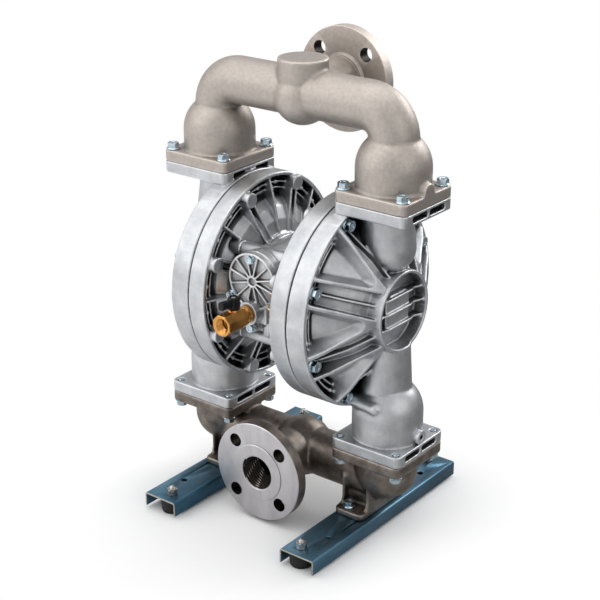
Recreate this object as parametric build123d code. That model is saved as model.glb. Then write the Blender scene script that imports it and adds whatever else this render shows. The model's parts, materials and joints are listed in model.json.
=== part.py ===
from build123d import *
import os
from math import cos, hypot, radians, sin, sqrt

# Air operated double diaphragm pump, millimetres.
# X runs along the diaphragm rod, -Y is the front with the suction flange and the air valve,
# +Z is up, and the origin lies on the floor under the middle of the base.

# Driving sizes of the base
RAIL_LENGTH = 334.0
RAIL_WIDTH = 54.0
RAIL_HEIGHT = 20.2
RAIL_WALL = 2.3
RAIL_BEND = 3.0
RAIL_SPREAD = 118.0
RAIL_TOP = 24.2
FOOT_X = 112.0
FOOT_INSET = 19.0
FOOT_TOP_RADIUS = 17.5
FOOT_BOTTOM_RADIUS = 14.5
STUD_RADIUS = 4.0
STUD_TOP = 37.0
STUD_ROOT = 8.0
MOUNT_HOLE_RADIUS = 4.5
MOUNT_HOLE_X = 125.0
MOUNT_HOLE_INSET = 58.0
PEDESTAL_BOLT_X = 107.7
PEDESTAL_BOLT_Y = 38.4
PAD_INNER_X = 92.0
PAD_OUTER_X = 137.0
PAD_REACH = 52.0
PAD_THICKNESS = 9.0
HEART_REACH = 24.0
CHEEK = 4.0
CHEEK_INSET = 10.0
CHEEK_TAPER = 6.0
CHEEK_KNEE = 42.0

# Driving sizes of the ports and manifolds
PORT_X = 140.5
PLATE = 108.0
PLATE_CORNER = 9.0
PLATE_THICKNESS = 15.4
BOLT_PITCH = 88.0
LOWER_JOINT = 122.8
UPPER_JOINT = 463.6
INLET_AXIS = 74.7
OUTLET_AXIS = 576.0
INLET_PIPE_RADIUS = 33.0
OUTLET_PIPE_RADIUS = 31.5
PIPE_WALL = 6.0
INLET_BULB_RADIUS = 42.0
OUTLET_BULB_RADIUS = 38.0
DOME_RADIUS = 48.0
DOME_WALL = 6.0
DOME_STRAIGHT = 42.0
ELBOW_BEND = 38.0
FLANGE_RADIUS = 70.0
FLANGE_THICKNESS = 18.0
FLANGE_FACE = 101.5
RAISED_FACE_RADIUS = 40.5
RAISED_FACE = 1.5
FLANGE_PCD = 105.0
FLANGE_HOLE_RADIUS = 9.5
THREAD_MINOR_RADIUS = 22.4
THREAD_LENGTH = 24.0
TOP_BOSS_RADIUS = 32.5
TOP_BOSS_HEIGHT = 45.0

# Driving sizes of the chambers
AXIS = 317.5
RING_RADIUS = 139.5
RING_WALL = 5.0
RING_INNER_X = 53.5
SEAM_X = 79.5
RING_OUTER_X = 108.5
RING_FLOOR = 6.5
CHAMBER_WALL = 6.0
COLLAR_RADIUS = 54.0
COLLAR_WALL = 4.0
COLLAR_X = 163.0
CROWN_X = 144.0
RIB = 4.0
RIM_TO_BOLTS = 12.5
SEAM_GAP = 1.2
SEAM_DEPTH = 4.0
FIN_SPLAY = 16.5
FIN_EDGE = 4.0
CHAMBER_BOLTS = 8
UPPER_NECK_X = 132.0
UPPER_NECK_RADIUS = 34.0
UPPER_NECK_END = 370.0
LOWER_NECK_RADIUS = 47.0
LOWER_NECK_SHOULDER = 186.0
LOWER_NECK_WAIST = 31.0
NECK_BORE = 22.0
HUB_RADIUS = 62.0
HUB_X = 36.0

# Driving sizes of the diaphragms, discs and rod
CLEARANCE = 0.3
SLIDE_FIT = 0.05
DIAPHRAGM = 4.0
RIM_TO_CLAMP = 27.5
CLAMP_WIDTH = 9.0
DISC_RADIUS = 55.0
INNER_DISC = 8.0
OUTER_DISC = 12.0
ROD_RADIUS = 11.0
ROD_NECK_RADIUS = 8.0
STROKE = 20.0
PILOT_RADIUS = 4.0
PILOT_DROP = 26.0
PILOT_TRAVEL = 4.0

# Driving sizes of the check valves
BALL_RADIUS = 24.0
SEAT_RADIUS = 31.0
SEAT_BORE = 18.0
SEAT_HEIGHT = 8.0
SEAT_BEVEL = 4.0
BALL_LIFT = 10.0
CAGE_RIB = 5.0
STOP_RADIUS = 12.0

# Driving sizes of the air valve
VALVE_AXIS = 351.5
HOUSING_RADIUS = 38.0
CAP_SEAT = 97.0
TIE_TUBES = [(10.0, -72.0, 378.0), (7.5, -75.0, 262.0)]
TIE_END = 40.0
CAP_THICKNESS = 10.0
CAP_WEB = 4.0
INLET_Z = 311.0
INLET_BOSS_RADIUS = 15.5
INLET_BOSS_FACE = 117.0
AIR_BORE = 8.0
SLEEVE_RADIUS = 20.0
SPOOL_RADIUS = 12.0
SPOOL_TRAVEL = 6.0
SLEEVE_LENGTH = 76.0

# Driving sizes of the air shut-off valve
NIPPLE_RADIUS = 10.4
BODY_FLATS = 27.0
BODY_START = 128.5
MOUTH_FACE = 167.0
MOUTH_BORE = 9.3
MOUTH_DEPTH = 13.0
BALL_VALVE_RADIUS = 9.0
BALL_VALVE_BORE = 6.0
STEM_Y = 142.0
STEM_RADIUS = 3.0
TONGUE_WIDTH = 2.4
TONGUE_HEIGHT = 2.0
LEVER_REACH = 25.0
GLAND_HEIGHT = 20.0
LEVER_HEIGHT = 10.0

# Driving sizes of the silencer and fasteners
SILENCER_RADIUS = 24.0
SILENCER_END = 132.0
EXHAUST_FACE = 56.0
M8 = 4.0
M8_HEAD = 6.5
M8_HEAD_HEIGHT = 6.0
M8_FLANGE = 8.5
M8_FLANGE_HEIGHT = 2.0
M6 = 3.0
M6_HEAD = 5.0

FOOT_Y = RAIL_LENGTH / 2 - FOOT_INSET
MOUNT_HOLE_Y = RAIL_LENGTH / 2 - MOUNT_HOLE_INSET
BOLT_CIRCLE = RING_RADIUS - RIM_TO_BOLTS
CLAMP_RADIUS = RING_RADIUS - RIM_TO_CLAMP
CLAMP_INNER_RADIUS = CLAMP_RADIUS - CLAMP_WIDTH
DISH_FOOT_RADIUS = CLAMP_RADIUS - 1
OUTER_BAND = BOLT_CIRCLE - 0.7
INNER_BAND = BOLT_CIRCLE - 9
LEVER_BASE = INLET_Z + GLAND_HEIGHT
LEVER_TOP = LEVER_BASE + LEVER_HEIGHT
CHAMBER_BOLT_SEAT = RING_OUTER_X - 8
BOLT_STEP = 360 / CHAMBER_BOLTS
FIRST_BOLT = BOLT_STEP / 2
LOWER_PLATE = LOWER_JOINT - PLATE_THICKNESS
LOWER_TOP = LOWER_JOINT + PLATE_THICKNESS
UPPER_BOTTOM = UPPER_JOINT - PLATE_THICKNESS
UPPER_PLATE = UPPER_JOINT + PLATE_THICKNESS
BALL_SEATING = sqrt(BALL_RADIUS**2 - SEAT_BORE**2) - SEAT_BEVEL
CAGE_RADIUS = DOME_RADIUS - DOME_WALL
PCD_STEP = 45.0


def cylinder_x(radius, start, end, y=0.0, z=AXIS):
    """Cylinder along X between two X positions."""
    return Pos((start + end) / 2, y, z) * Rot(0, 90, 0) * Cylinder(radius, abs(end - start))


def cylinder_y(radius, start, end, x=0.0, z=AXIS):
    """Cylinder along Y between two Y positions."""
    return Pos(x, (start + end) / 2, z) * Rot(90, 0, 0) * Cylinder(radius, abs(end - start))


def cylinder_z(radius, low, high, x=0.0, y=0.0):
    """Upright cylinder between two heights."""
    return Pos(x, y, (low + high) / 2) * Cylinder(radius, high - low)


def block(x0, x1, y0, y1, z0, z1):
    """Block between two opposite corners."""
    return Pos((x0 + x1) / 2, (y0 + y1) / 2, (z0 + z1) / 2) * Box(x1 - x0, y1 - y0, z1 - z0)


def hexagon_z(flats, low, high, x=0.0, y=0.0):
    """Upright hexagonal prism of a given size across flats."""
    face = RegularPolygon(flats / 2, 6, major_radius=False)
    return Pos(x, y, low) * extrude(face, high - low)


def square_corners(pitch, x=0.0, y=0.0):
    """Four corners of a square pattern."""
    half = pitch / 2
    return [(x + i * half, y + j * half) for i in (-1, 1) for j in (-1, 1)]


def ring_angles():
    """Angles of the chamber bolts round the rod axis, from +Y towards +Z."""
    return [FIRST_BOLT + BOLT_STEP * i for i in range(CHAMBER_BOLTS)]


def on_ring(radius, angle):
    """Y and Z of a point round the rod axis."""
    return radius * cos(radians(angle)), AXIS + radius * sin(radians(angle))


def turned_about_x(outline):
    """Solid of revolution about the rod axis from points of (x, radius)."""
    face = make_face(Polyline([(x, 0, AXIS + r) for x, r in outline], close=True))
    return revolve(face, Axis((0, 0, AXIS), (1, 0, 0)), 360)


def other_side(shape):
    """Mirror image across the middle plane of the pump."""
    return mirror(shape, Plane.YZ)


def rounded_plate(low, high):
    """Square port plate with rounded corners on the right side of the pump."""
    plate = block(PORT_X - PLATE / 2, PORT_X + PLATE / 2, -PLATE / 2, PLATE / 2, low, high)
    return fillet(plate.edges().filter_by(Axis.Z), PLATE_CORNER)


def cage(seat_level, top):
    """Four guide ribs with stops over a check ball, on the right side of the pump."""
    lifted = seat_level + BALL_SEATING + CLEARANCE + BALL_LIFT
    stop_level = lifted + sqrt(BALL_RADIUS**2 - STOP_RADIUS**2) + CLEARANCE
    guide = BALL_RADIUS + CLEARANCE
    reach = CAGE_RADIUS + 1
    ribs = []
    for turn in range(4):
        low = block(guide, reach, -CAGE_RIB / 2, CAGE_RIB / 2, seat_level + SEAT_HEIGHT, top)
        high = block(STOP_RADIUS, reach, -CAGE_RIB / 2, CAGE_RIB / 2, stop_level, top)
        ribs.append(Pos(PORT_X, 0, 0) * Rot(0, 0, 90 * turn) * (low + high))
    return ribs


def flange_holes(start, end, z):
    """Four bolt holes of the pipe flange."""
    return [
        cylinder_y(
            FLANGE_HOLE_RADIUS,
            start,
            end,
            FLANGE_PCD / 2 * cos(radians(PCD_STEP + 90 * i)),
            z + FLANGE_PCD / 2 * sin(radians(PCD_STEP + 90 * i)),
        )
        for i in range(4)
    ]


def pipe_flange(face, towards, z, neck_radius):
    """Pipe flange whose raised face looks along Y, with its neck back to the middle."""
    back = face - towards * FLANGE_THICKNESS
    plate = cylinder_y(FLANGE_RADIUS, face - towards * RAISED_FACE, back, 0, z)
    raised = cylinder_y(RAISED_FACE_RADIUS, face, back, 0, z)
    neck = cylinder_y(neck_radius, back, 0, 0, z)
    return plate + raised + neck


def port_bores(face, towards, z, pipe_bore):
    """Threaded mouth and bore of a pipe flange."""
    mouth = cylinder_y(THREAD_MINOR_RADIUS, face, face - towards * THREAD_LENGTH, 0, z)
    return mouth + cylinder_y(pipe_bore, face - towards * THREAD_LENGTH, 0, 0, z)


def base_rail(side):
    """Bent channel rail, open downwards."""
    middle = side * RAIL_SPREAD
    low = RAIL_TOP - RAIL_HEIGHT
    outer = block(
        middle - RAIL_WIDTH / 2, middle + RAIL_WIDTH / 2, -RAIL_LENGTH / 2, RAIL_LENGTH / 2, low, RAIL_TOP
    )
    outer = fillet(outer.edges().filter_by(Axis.Y).group_by(Axis.Z)[-1], RAIL_BEND)
    inside = RAIL_WIDTH / 2 - RAIL_WALL
    trough = block(
        middle - inside, middle + inside, -RAIL_LENGTH, RAIL_LENGTH, low - 1, RAIL_TOP - RAIL_WALL
    )
    rail = outer - trough
    for end in (-1, 1):
        rail -= cylinder_z(MOUNT_HOLE_RADIUS, low, RAIL_TOP + 1, side * MOUNT_HOLE_X, end * MOUNT_HOLE_Y)
        rail -= cylinder_z(STUD_RADIUS + CLEARANCE, low, RAIL_TOP + 1, side * FOOT_X, end * FOOT_Y)
        rail -= cylinder_z(M8 + CLEARANCE, low, RAIL_TOP + 1, side * PEDESTAL_BOLT_X, end * PEDESTAL_BOLT_Y)
    return rail


def at_feet(make):
    """The same piece at each of the four rubber feet."""
    return Compound([make(i * FOOT_X, j * FOOT_Y) for i in (-1, 1) for j in (-1, 1)])


def rubber_foot(x, y):
    """Tapered rubber foot with a blind hole for its stud."""
    top = RAIL_TOP - RAIL_WALL
    body = Pos(x, y, top / 2) * Cone(FOOT_BOTTOM_RADIUS, FOOT_TOP_RADIUS, top)
    return (body - cylinder_z(STUD_RADIUS, STUD_ROOT, top + 1, x, y)).solid()


def foot_stud(x, y):
    """Stud moulded into a foot and standing out of the rail."""
    return cylinder_z(STUD_RADIUS, STUD_ROOT, STUD_TOP, x, y)


def foot_washer(x, y):
    """Spring washer on the rail under a foot nut."""
    washer = cylinder_z(7.5, RAIL_TOP, RAIL_TOP + 2, x, y)
    return (washer - cylinder_z(STUD_RADIUS + CLEARANCE, RAIL_TOP - 1, RAIL_TOP + 3, x, y)).solid()


def foot_nut(x, y):
    """Hexagon nut on a foot stud."""
    nut = hexagon_z(13, RAIL_TOP + 2, RAIL_TOP + 8.5, x, y)
    return (nut - cylinder_z(STUD_RADIUS + SLIDE_FIT, RAIL_TOP, RAIL_TOP + 10, x, y)).solid()


def pedestal():
    """Foot of the inlet manifold on the right rail: a pad with a bolt at each end between two cheeks."""
    pad_top = RAIL_TOP + PAD_THICKNESS
    pad = block(PAD_INNER_X, PAD_OUTER_X, -PAD_REACH, PAD_REACH, RAIL_TOP, pad_top)
    pad = fillet(pad.edges().filter_by(Axis.Z), 8)
    heart = block(PAD_INNER_X + 3, PAD_OUTER_X - 3, -HEART_REACH, HEART_REACH, RAIL_TOP, INLET_AXIS)
    toe = PAD_REACH - CHEEK_INSET
    neck = toe - CHEEK_TAPER
    half = [(toe, RAIL_TOP), (neck, CHEEK_KNEE), (neck, INLET_AXIS)]
    outline = half + [(-y, z) for y, z in reversed(half)]
    cheek = Plane.YZ * make_face(Polyline(outline, close=True))
    foot = pad + heart
    for start in (PAD_INNER_X + 1.5, PAD_OUTER_X - CHEEK - 0.5):
        foot += Pos(start, 0, 0) * extrude(cheek, CHEEK)
    return foot


def inlet_side():
    """Right half of the inlet manifold, outside shape."""
    plate = rounded_plate(LOWER_PLATE, LOWER_JOINT)
    bulb_level = LOWER_PLATE - 20
    bulb = Pos(PORT_X, 0, bulb_level) * Sphere(INLET_BULB_RADIUS)
    bulb -= block(PORT_X - PLATE, PORT_X + PLATE, -PLATE, PLATE, LOWER_PLATE + 1, UPPER_JOINT)
    throat = cylinder_z(INLET_BULB_RADIUS, bulb_level, LOWER_PLATE + 1, PORT_X)
    pipe = cylinder_x(INLET_PIPE_RADIUS, 0, PORT_X, 0, INLET_AXIS)
    return plate + bulb + throat + pipe + pedestal()


def inlet_manifold():
    """Lower casting that splits the suction port to both chambers."""
    bore = INLET_PIPE_RADIUS - PIPE_WALL
    half = inlet_side()
    body = half + other_side(half)
    body += Pos(0, 0, INLET_AXIS) * Sphere(INLET_BULB_RADIUS)
    body += pipe_flange(-FLANGE_FACE, -1, INLET_AXIS, INLET_PIPE_RADIUS + 2)
    body -= cylinder_x(bore, -PORT_X, PORT_X, 0, INLET_AXIS)
    body -= port_bores(-FLANGE_FACE, -1, INLET_AXIS, bore)
    body -= Pos(0, 0, INLET_AXIS) * Sphere(INLET_BULB_RADIUS - PIPE_WALL - 2)
    for hole in flange_holes(-FLANGE_FACE - 1, -FLANGE_FACE + FLANGE_THICKNESS + 1, INLET_AXIS):
        body -= hole
    for side in (-1, 1):
        body -= Pos(side * PORT_X, 0, INLET_AXIS) * Sphere(bore)
        body -= cylinder_z(bore, INLET_AXIS, LOWER_JOINT + 1, side * PORT_X)
        body -= cylinder_z(SEAT_RADIUS, LOWER_JOINT - SEAT_HEIGHT, LOWER_JOINT + 1, side * PORT_X)
        for x, y in square_corners(BOLT_PITCH, side * PORT_X):
            body -= cylinder_z(M8 + CLEARANCE, LOWER_PLATE - 1, LOWER_JOINT + 1, x, y)
        for end in (-1, 1):
            x, y = side * PEDESTAL_BOLT_X, end * PEDESTAL_BOLT_Y
            body -= cylinder_z(M8 + CLEARANCE, RAIL_TOP - 1, RAIL_TOP + 12, x, y)
            body -= cylinder_z(10, RAIL_TOP + 9, RAIL_TOP + 20, x, y)
    return body.solid()


def outlet_tube(radius):
    """Round tube of a given radius along the right half of the outlet path."""
    corner = OUTLET_AXIS - ELBOW_BEND
    inner = PORT_X - ELBOW_BEND
    rise = cylinder_z(radius, UPPER_PLATE, corner, PORT_X)
    arm = cylinder_x(radius, 0, inner, 0, OUTLET_AXIS)
    section = Pos(PORT_X, 0, corner) * Circle(radius)
    bend = revolve(section, Axis((inner, 0, corner), (0, -1, 0)), 90)
    return rise + bend + arm


def dome(radius, crown):
    """Ball chamber over an outlet port: a cylinder closed by a round shoulder."""
    straight = UPPER_PLATE + crown
    return cylinder_z(radius, UPPER_JOINT, straight, PORT_X) + Pos(PORT_X, 0, straight) * Sphere(radius)


def outlet_manifold():
    """Upper casting that joins both chambers to the discharge port."""
    crown = DOME_STRAIGHT - DOME_WALL
    bore = OUTLET_PIPE_RADIUS - PIPE_WALL
    half = rounded_plate(UPPER_JOINT, UPPER_PLATE) + outlet_tube(OUTLET_PIPE_RADIUS) + dome(DOME_RADIUS, crown - 10)
    body = half + other_side(half)
    body += Pos(0, 0, OUTLET_AXIS - 4) * Sphere(OUTLET_BULB_RADIUS)
    body += pipe_flange(FLANGE_FACE, 1, OUTLET_AXIS, OUTLET_PIPE_RADIUS)
    boss_top = OUTLET_AXIS + TOP_BOSS_HEIGHT
    boss = cylinder_z(TOP_BOSS_RADIUS, OUTLET_AXIS, boss_top)
    body += boss
    hollow = outlet_tube(bore) + dome(CAGE_RADIUS, crown - 10)
    lower_half_space = block(0, PLATE * 3, -PLATE, PLATE, 0, UPPER_JOINT)
    hollow -= lower_half_space
    for rib in cage(UPPER_JOINT, OUTLET_AXIS - ELBOW_BEND):
        hollow -= rib
    body -= hollow
    body -= other_side(hollow)
    body -= block(-PLATE * 3, PLATE * 3, -PLATE, PLATE, 0, UPPER_JOINT)
    body -= Pos(0, 0, OUTLET_AXIS - 4) * Sphere(OUTLET_BULB_RADIUS - PIPE_WALL)
    body -= port_bores(FLANGE_FACE, 1, OUTLET_AXIS, bore)
    for hole in flange_holes(FLANGE_FACE + 1, FLANGE_FACE - FLANGE_THICKNESS - 1, OUTLET_AXIS):
        body -= hole
    for side in (-1, 1):
        for x, y in square_corners(BOLT_PITCH, side * PORT_X):
            body -= cylinder_z(M8 + CLEARANCE, UPPER_JOINT - 1, UPPER_PLATE + 1, x, y)
    return body.solid()


def chamber_plate(low, high):
    """Port plate of a chamber, with cored pockets open to both sides and tapped corners."""
    plate = rounded_plate(low, high)
    depth = 12.0
    reach = BOLT_PITCH / 2 - 8
    middle = (low + high) / 2
    for side in (-1, 1):
        face = PORT_X + side * PLATE / 2
        for end in (-1, 1):
            near, far = sorted((face - side * depth, face + side))
            front, back = sorted((end * 2, end * reach))
            plate -= block(near, far, front, back, middle - 4, middle + 4)
    return plate


def rib_between(start_radius, start_angle, end_radius, end_angle, outline, thickness=RIB):
    """Flat rib along X between two points round the rod axis.

    The outline holds pairs of a share of the way from start to end and an X position."""
    y0, z0 = on_ring(start_radius, start_angle)
    y1, z1 = on_ring(end_radius, end_angle)
    length = hypot(y1 - y0, z1 - z0)
    along = Vector(0, (y1 - y0) / length, (z1 - z0) / length)
    plane = Plane(origin=(0, y0, z0), x_dir=along, z_dir=along.cross(Vector(1, 0, 0)))
    face = make_face(Polyline([(share * length, x) for share, x in outline], close=True))
    return extrude(plane * face, thickness / 2, both=True)


def ring_band(radius, start, end, thickness=2.5):
    """Thin concentric band round the rod axis."""
    return cylinder_x(radius, start, end) - cylinder_x(radius - thickness, start - 1, end + 1)


def outer_cavity():
    """Liquid space of the right chamber, without its port passages."""
    return turned_about_x(
        [
            (SEAM_X - 1, 0),
            (SEAM_X - 1, CLAMP_INNER_RADIUS),
            (SEAM_X + 2, CLAMP_INNER_RADIUS),
            (96, 98),
            (112, 88),
            (124, 76),
            (133, 60),
            (CROWN_X - CHAMBER_WALL - 1, 40),
            (CROWN_X - CHAMBER_WALL, 0),
        ]
    )


def outer_dish():
    """Ring, dish and collar of the right outer chamber as one turned shape."""
    floor = SEAM_X + RING_FLOOR
    return turned_about_x(
        [
            (SEAM_X, 0),
            (SEAM_X, RING_RADIUS - SEAM_DEPTH),
            (SEAM_X + SEAM_GAP, RING_RADIUS - SEAM_DEPTH),
            (SEAM_X + SEAM_GAP, RING_RADIUS),
            (RING_OUTER_X, RING_RADIUS),
            (RING_OUTER_X, RING_RADIUS - RING_WALL),
            (floor, RING_RADIUS - RING_WALL),
            (floor, DISH_FOOT_RADIUS),
            (98, DISH_FOOT_RADIUS - 1),
            (109, 101),
            (121, 90),
            (132, 77),
            (139, 65),
            (143, COLLAR_RADIUS + 1),
            (COLLAR_X, COLLAR_RADIUS),
            (COLLAR_X, COLLAR_RADIUS - COLLAR_WALL),
            (CROWN_X, COLLAR_RADIUS - COLLAR_WALL),
            (CROWN_X, 0),
        ]
    )


def fin_window(x, root, rounding):
    """Outline of the opening between two splayed fins, round at its inner end, at one X position."""
    edge = FIN_SPLAY - FIN_EDGE / RING_RADIUS / radians(1)
    rim = RING_RADIUS + 6
    outline = [(rim * cos(radians(a)), rim * sin(radians(a))) for a in (-edge, edge)]
    face = make_face(Polyline([*outline, (root, 0)], close=True))
    inner = face.vertices().sort_by(Axis.X)[0]
    across_rod = Plane(origin=(x, 0, 0), x_dir=(0, 1, 0), z_dir=(1, 0, 0))
    return across_rod * fillet(inner, rounding)


def fin_pair():
    """Two splayed fins that grow together before the collar, pointing along Y from the rod axis."""
    floor = SEAM_X + RING_FLOOR - 1
    tip = COLLAR_RADIUS - 1
    rim = RING_RADIUS - 2
    corners = [(rim, FIN_SPLAY), (rim, -FIN_SPLAY), (tip, -FIN_SPLAY / 4), (tip, FIN_SPLAY / 4)]
    outline = [(r * cos(radians(a)), r * sin(radians(a))) for r, a in corners]
    wedge = Pos(floor, 0, 0) * extrude(Plane.YZ * make_face(Polyline(outline, close=True)), COLLAR_X - floor)
    narrow = fin_window(floor, COLLAR_RADIUS + 6, 24)
    wide = fin_window(COLLAR_X, COLLAR_RADIUS + 2, 5)
    return wedge - loft([narrow, wide])


def fin_crown():
    """Space below the crowned tops of the fins."""
    return turned_about_x(
        [
            (SEAM_X, 0),
            (SEAM_X, RING_RADIUS - 2),
            (RING_OUTER_X, RING_RADIUS - 2),
            (122.5, 118),
            (134, 96),
            (COLLAR_X - 4, COLLAR_RADIUS - 1),
            (COLLAR_X - 4, 0),
        ]
    )


def outer_ribs():
    """Ribs from the collar to the rim: splayed fins between the bolts and a thin rib to each bolt."""
    floor = SEAM_X + RING_FLOOR - 1
    crown = fin_crown()
    shapes = []
    for corner in (0, 45, 135, 180, 225, 315):
        shapes.append((Pos(0, 0, AXIS) * Rot(corner, 0, 0) * fin_pair()) & crown)
    for angle in ring_angles():
        shapes.append(
            rib_between(
                BOLT_CIRCLE - 6,
                angle,
                COLLAR_RADIUS - 1,
                angle,
                [(0, floor), (0, RING_OUTER_X - 5), (0.5, 134), (1, COLLAR_X - 8), (1, CROWN_X - 12)],
                3.0,
            )
        )
    return shapes


def bolt_bosses(start, end, radius):
    """Round bosses under the chamber bolts."""
    bosses = []
    for angle in ring_angles():
        y, z = on_ring(BOLT_CIRCLE, angle)
        bosses.append(cylinder_x(radius, start, end, y, z))
    return bosses


def upper_neck():
    """Outlet neck of the right chamber, rounded at its lower end."""
    round_end = UPPER_NECK_END + UPPER_NECK_RADIUS
    straight = cylinder_z(UPPER_NECK_RADIUS, round_end, UPPER_BOTTOM + 1, UPPER_NECK_X)
    return straight + Pos(UPPER_NECK_X, 0, round_end) * Sphere(UPPER_NECK_RADIUS)


def lower_neck():
    """Inlet neck of the right chamber: a ball chamber with a round shoulder under a narrow waist."""
    crown = LOWER_NECK_SHOULDER - 12
    shoulder = Pos(PORT_X, 0, crown) * Sphere(LOWER_NECK_RADIUS)
    straight = cylinder_z(LOWER_NECK_RADIUS, LOWER_TOP - 1, crown, PORT_X)
    waist_low, waist_high = crown + 26, AXIS - COLLAR_RADIUS + 6
    waist = Pos(PORT_X - 4, 0, (waist_low + waist_high) / 2) * Cone(
        LOWER_NECK_WAIST + 4, LOWER_NECK_WAIST, waist_high - waist_low
    )
    below = block(PORT_X - PLATE / 2, PORT_X + PLATE / 2, -PLATE / 2, PLATE / 2, 0, LOWER_TOP - 1)
    return straight + shoulder + waist - below


def port_passages():
    """Passages from the liquid space of the right chamber to both of its ports."""
    upper_turn = AXIS + 88
    lower_turn = AXIS - 84
    upper_bore = UPPER_NECK_RADIUS - CHAMBER_WALL - 2
    upper = cylinder_z(upper_bore, upper_turn, UPPER_JOINT - SEAT_HEIGHT + 1, UPPER_NECK_X)
    upper += Pos(UPPER_NECK_X, 0, upper_turn) * Sphere(upper_bore)
    upper += cylinder_x(NECK_BORE - 6, 90, UPPER_NECK_X, 0, upper_turn - 8)
    upper += cylinder_z(SEAT_RADIUS, UPPER_JOINT - SEAT_HEIGHT, UPPER_JOINT + 1, PORT_X)
    ball_room = cylinder_z(CAGE_RADIUS, LOWER_JOINT - 1, LOWER_NECK_SHOULDER - 12, PORT_X)
    ball_room += Pos(PORT_X, 0, LOWER_NECK_SHOULDER - 12) * Sphere(CAGE_RADIUS - 1)
    ball_room -= block(PORT_X - PLATE, PORT_X + PLATE, -PLATE, PLATE, 0, LOWER_JOINT - 1)
    for rib in cage(LOWER_JOINT, LOWER_NECK_SHOULDER + 26):
        ball_room -= rib
    rise = cylinder_z(NECK_BORE, LOWER_NECK_SHOULDER, lower_turn, PORT_X - 4)
    rise += Pos(PORT_X - 4, 0, lower_turn) * Sphere(NECK_BORE)
    across = cylinder_x(NECK_BORE - 6, 90, PORT_X - 4, 0, lower_turn + 6)
    return upper, ball_room, rise + across


def collar_ribs():
    """Wavy cooling ribs and raised pad inside the collar of the right chamber."""
    inner = COLLAR_RADIUS - COLLAR_WALL / 2
    pad = block(CROWN_X - 2, CROWN_X + 8, -26, 26, AXIS - 24, AXIS + 24)
    pad = fillet(pad.edges().filter_by(Axis.X), 12)
    shapes = [pad]
    for level in (-20.0, 0.0, 20.0):
        reach = sqrt(inner**2 - level**2)
        low = [(-reach, CROWN_X - 2), (reach, CROWN_X - 2)]
        high = [(reach, COLLAR_X - 3), (34, COLLAR_X - 9), (24, COLLAR_X - 6), (-24, COLLAR_X - 6)]
        high += [(-34, COLLAR_X - 9), (-reach, COLLAR_X - 3)]
        face = make_face(Polyline([(x, y) for y, x in low + high], close=True))
        shapes.append(Pos(0, 0, AXIS + level - 1.5) * extrude(face, 3))
    return shapes


def outer_chamber():
    """Right outer chamber: ribbed dish with collar, two necks and two port plates."""
    floor = SEAM_X + RING_FLOOR - 1
    body = outer_dish()
    body += [upper_neck(), lower_neck()]
    body += outer_ribs()
    body += collar_ribs()
    body += [ring_band(OUTER_BAND, floor, 102), ring_band(INNER_BAND, floor, 99)]
    body += bolt_bosses(floor, CHAMBER_BOLT_SEAT, 9.5)
    body += [chamber_plate(LOWER_JOINT, LOWER_TOP), chamber_plate(UPPER_BOTTOM, UPPER_JOINT)]
    body -= outer_cavity()
    for passage in port_passages():
        body -= passage
    body -= cylinder_x(CLAMP_RADIUS, SEAM_X - 1, SEAM_X + DIAPHRAGM / 2)
    body -= bolt_bosses(SEAM_X - 1, RING_OUTER_X, M8 + CLEARANCE)
    body -= bolt_bosses(CHAMBER_BOLT_SEAT, COLLAR_X, M8_FLANGE + CLEARANCE)
    for x, y in square_corners(BOLT_PITCH, PORT_X):
        body -= cylinder_z(M8 + SLIDE_FIT, LOWER_JOINT - 1, LOWER_TOP + 1, x, y)
        body -= cylinder_z(M8 + SLIDE_FIT, UPPER_BOTTOM - 1, UPPER_JOINT + 1, x, y)
    return body.solid()


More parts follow.
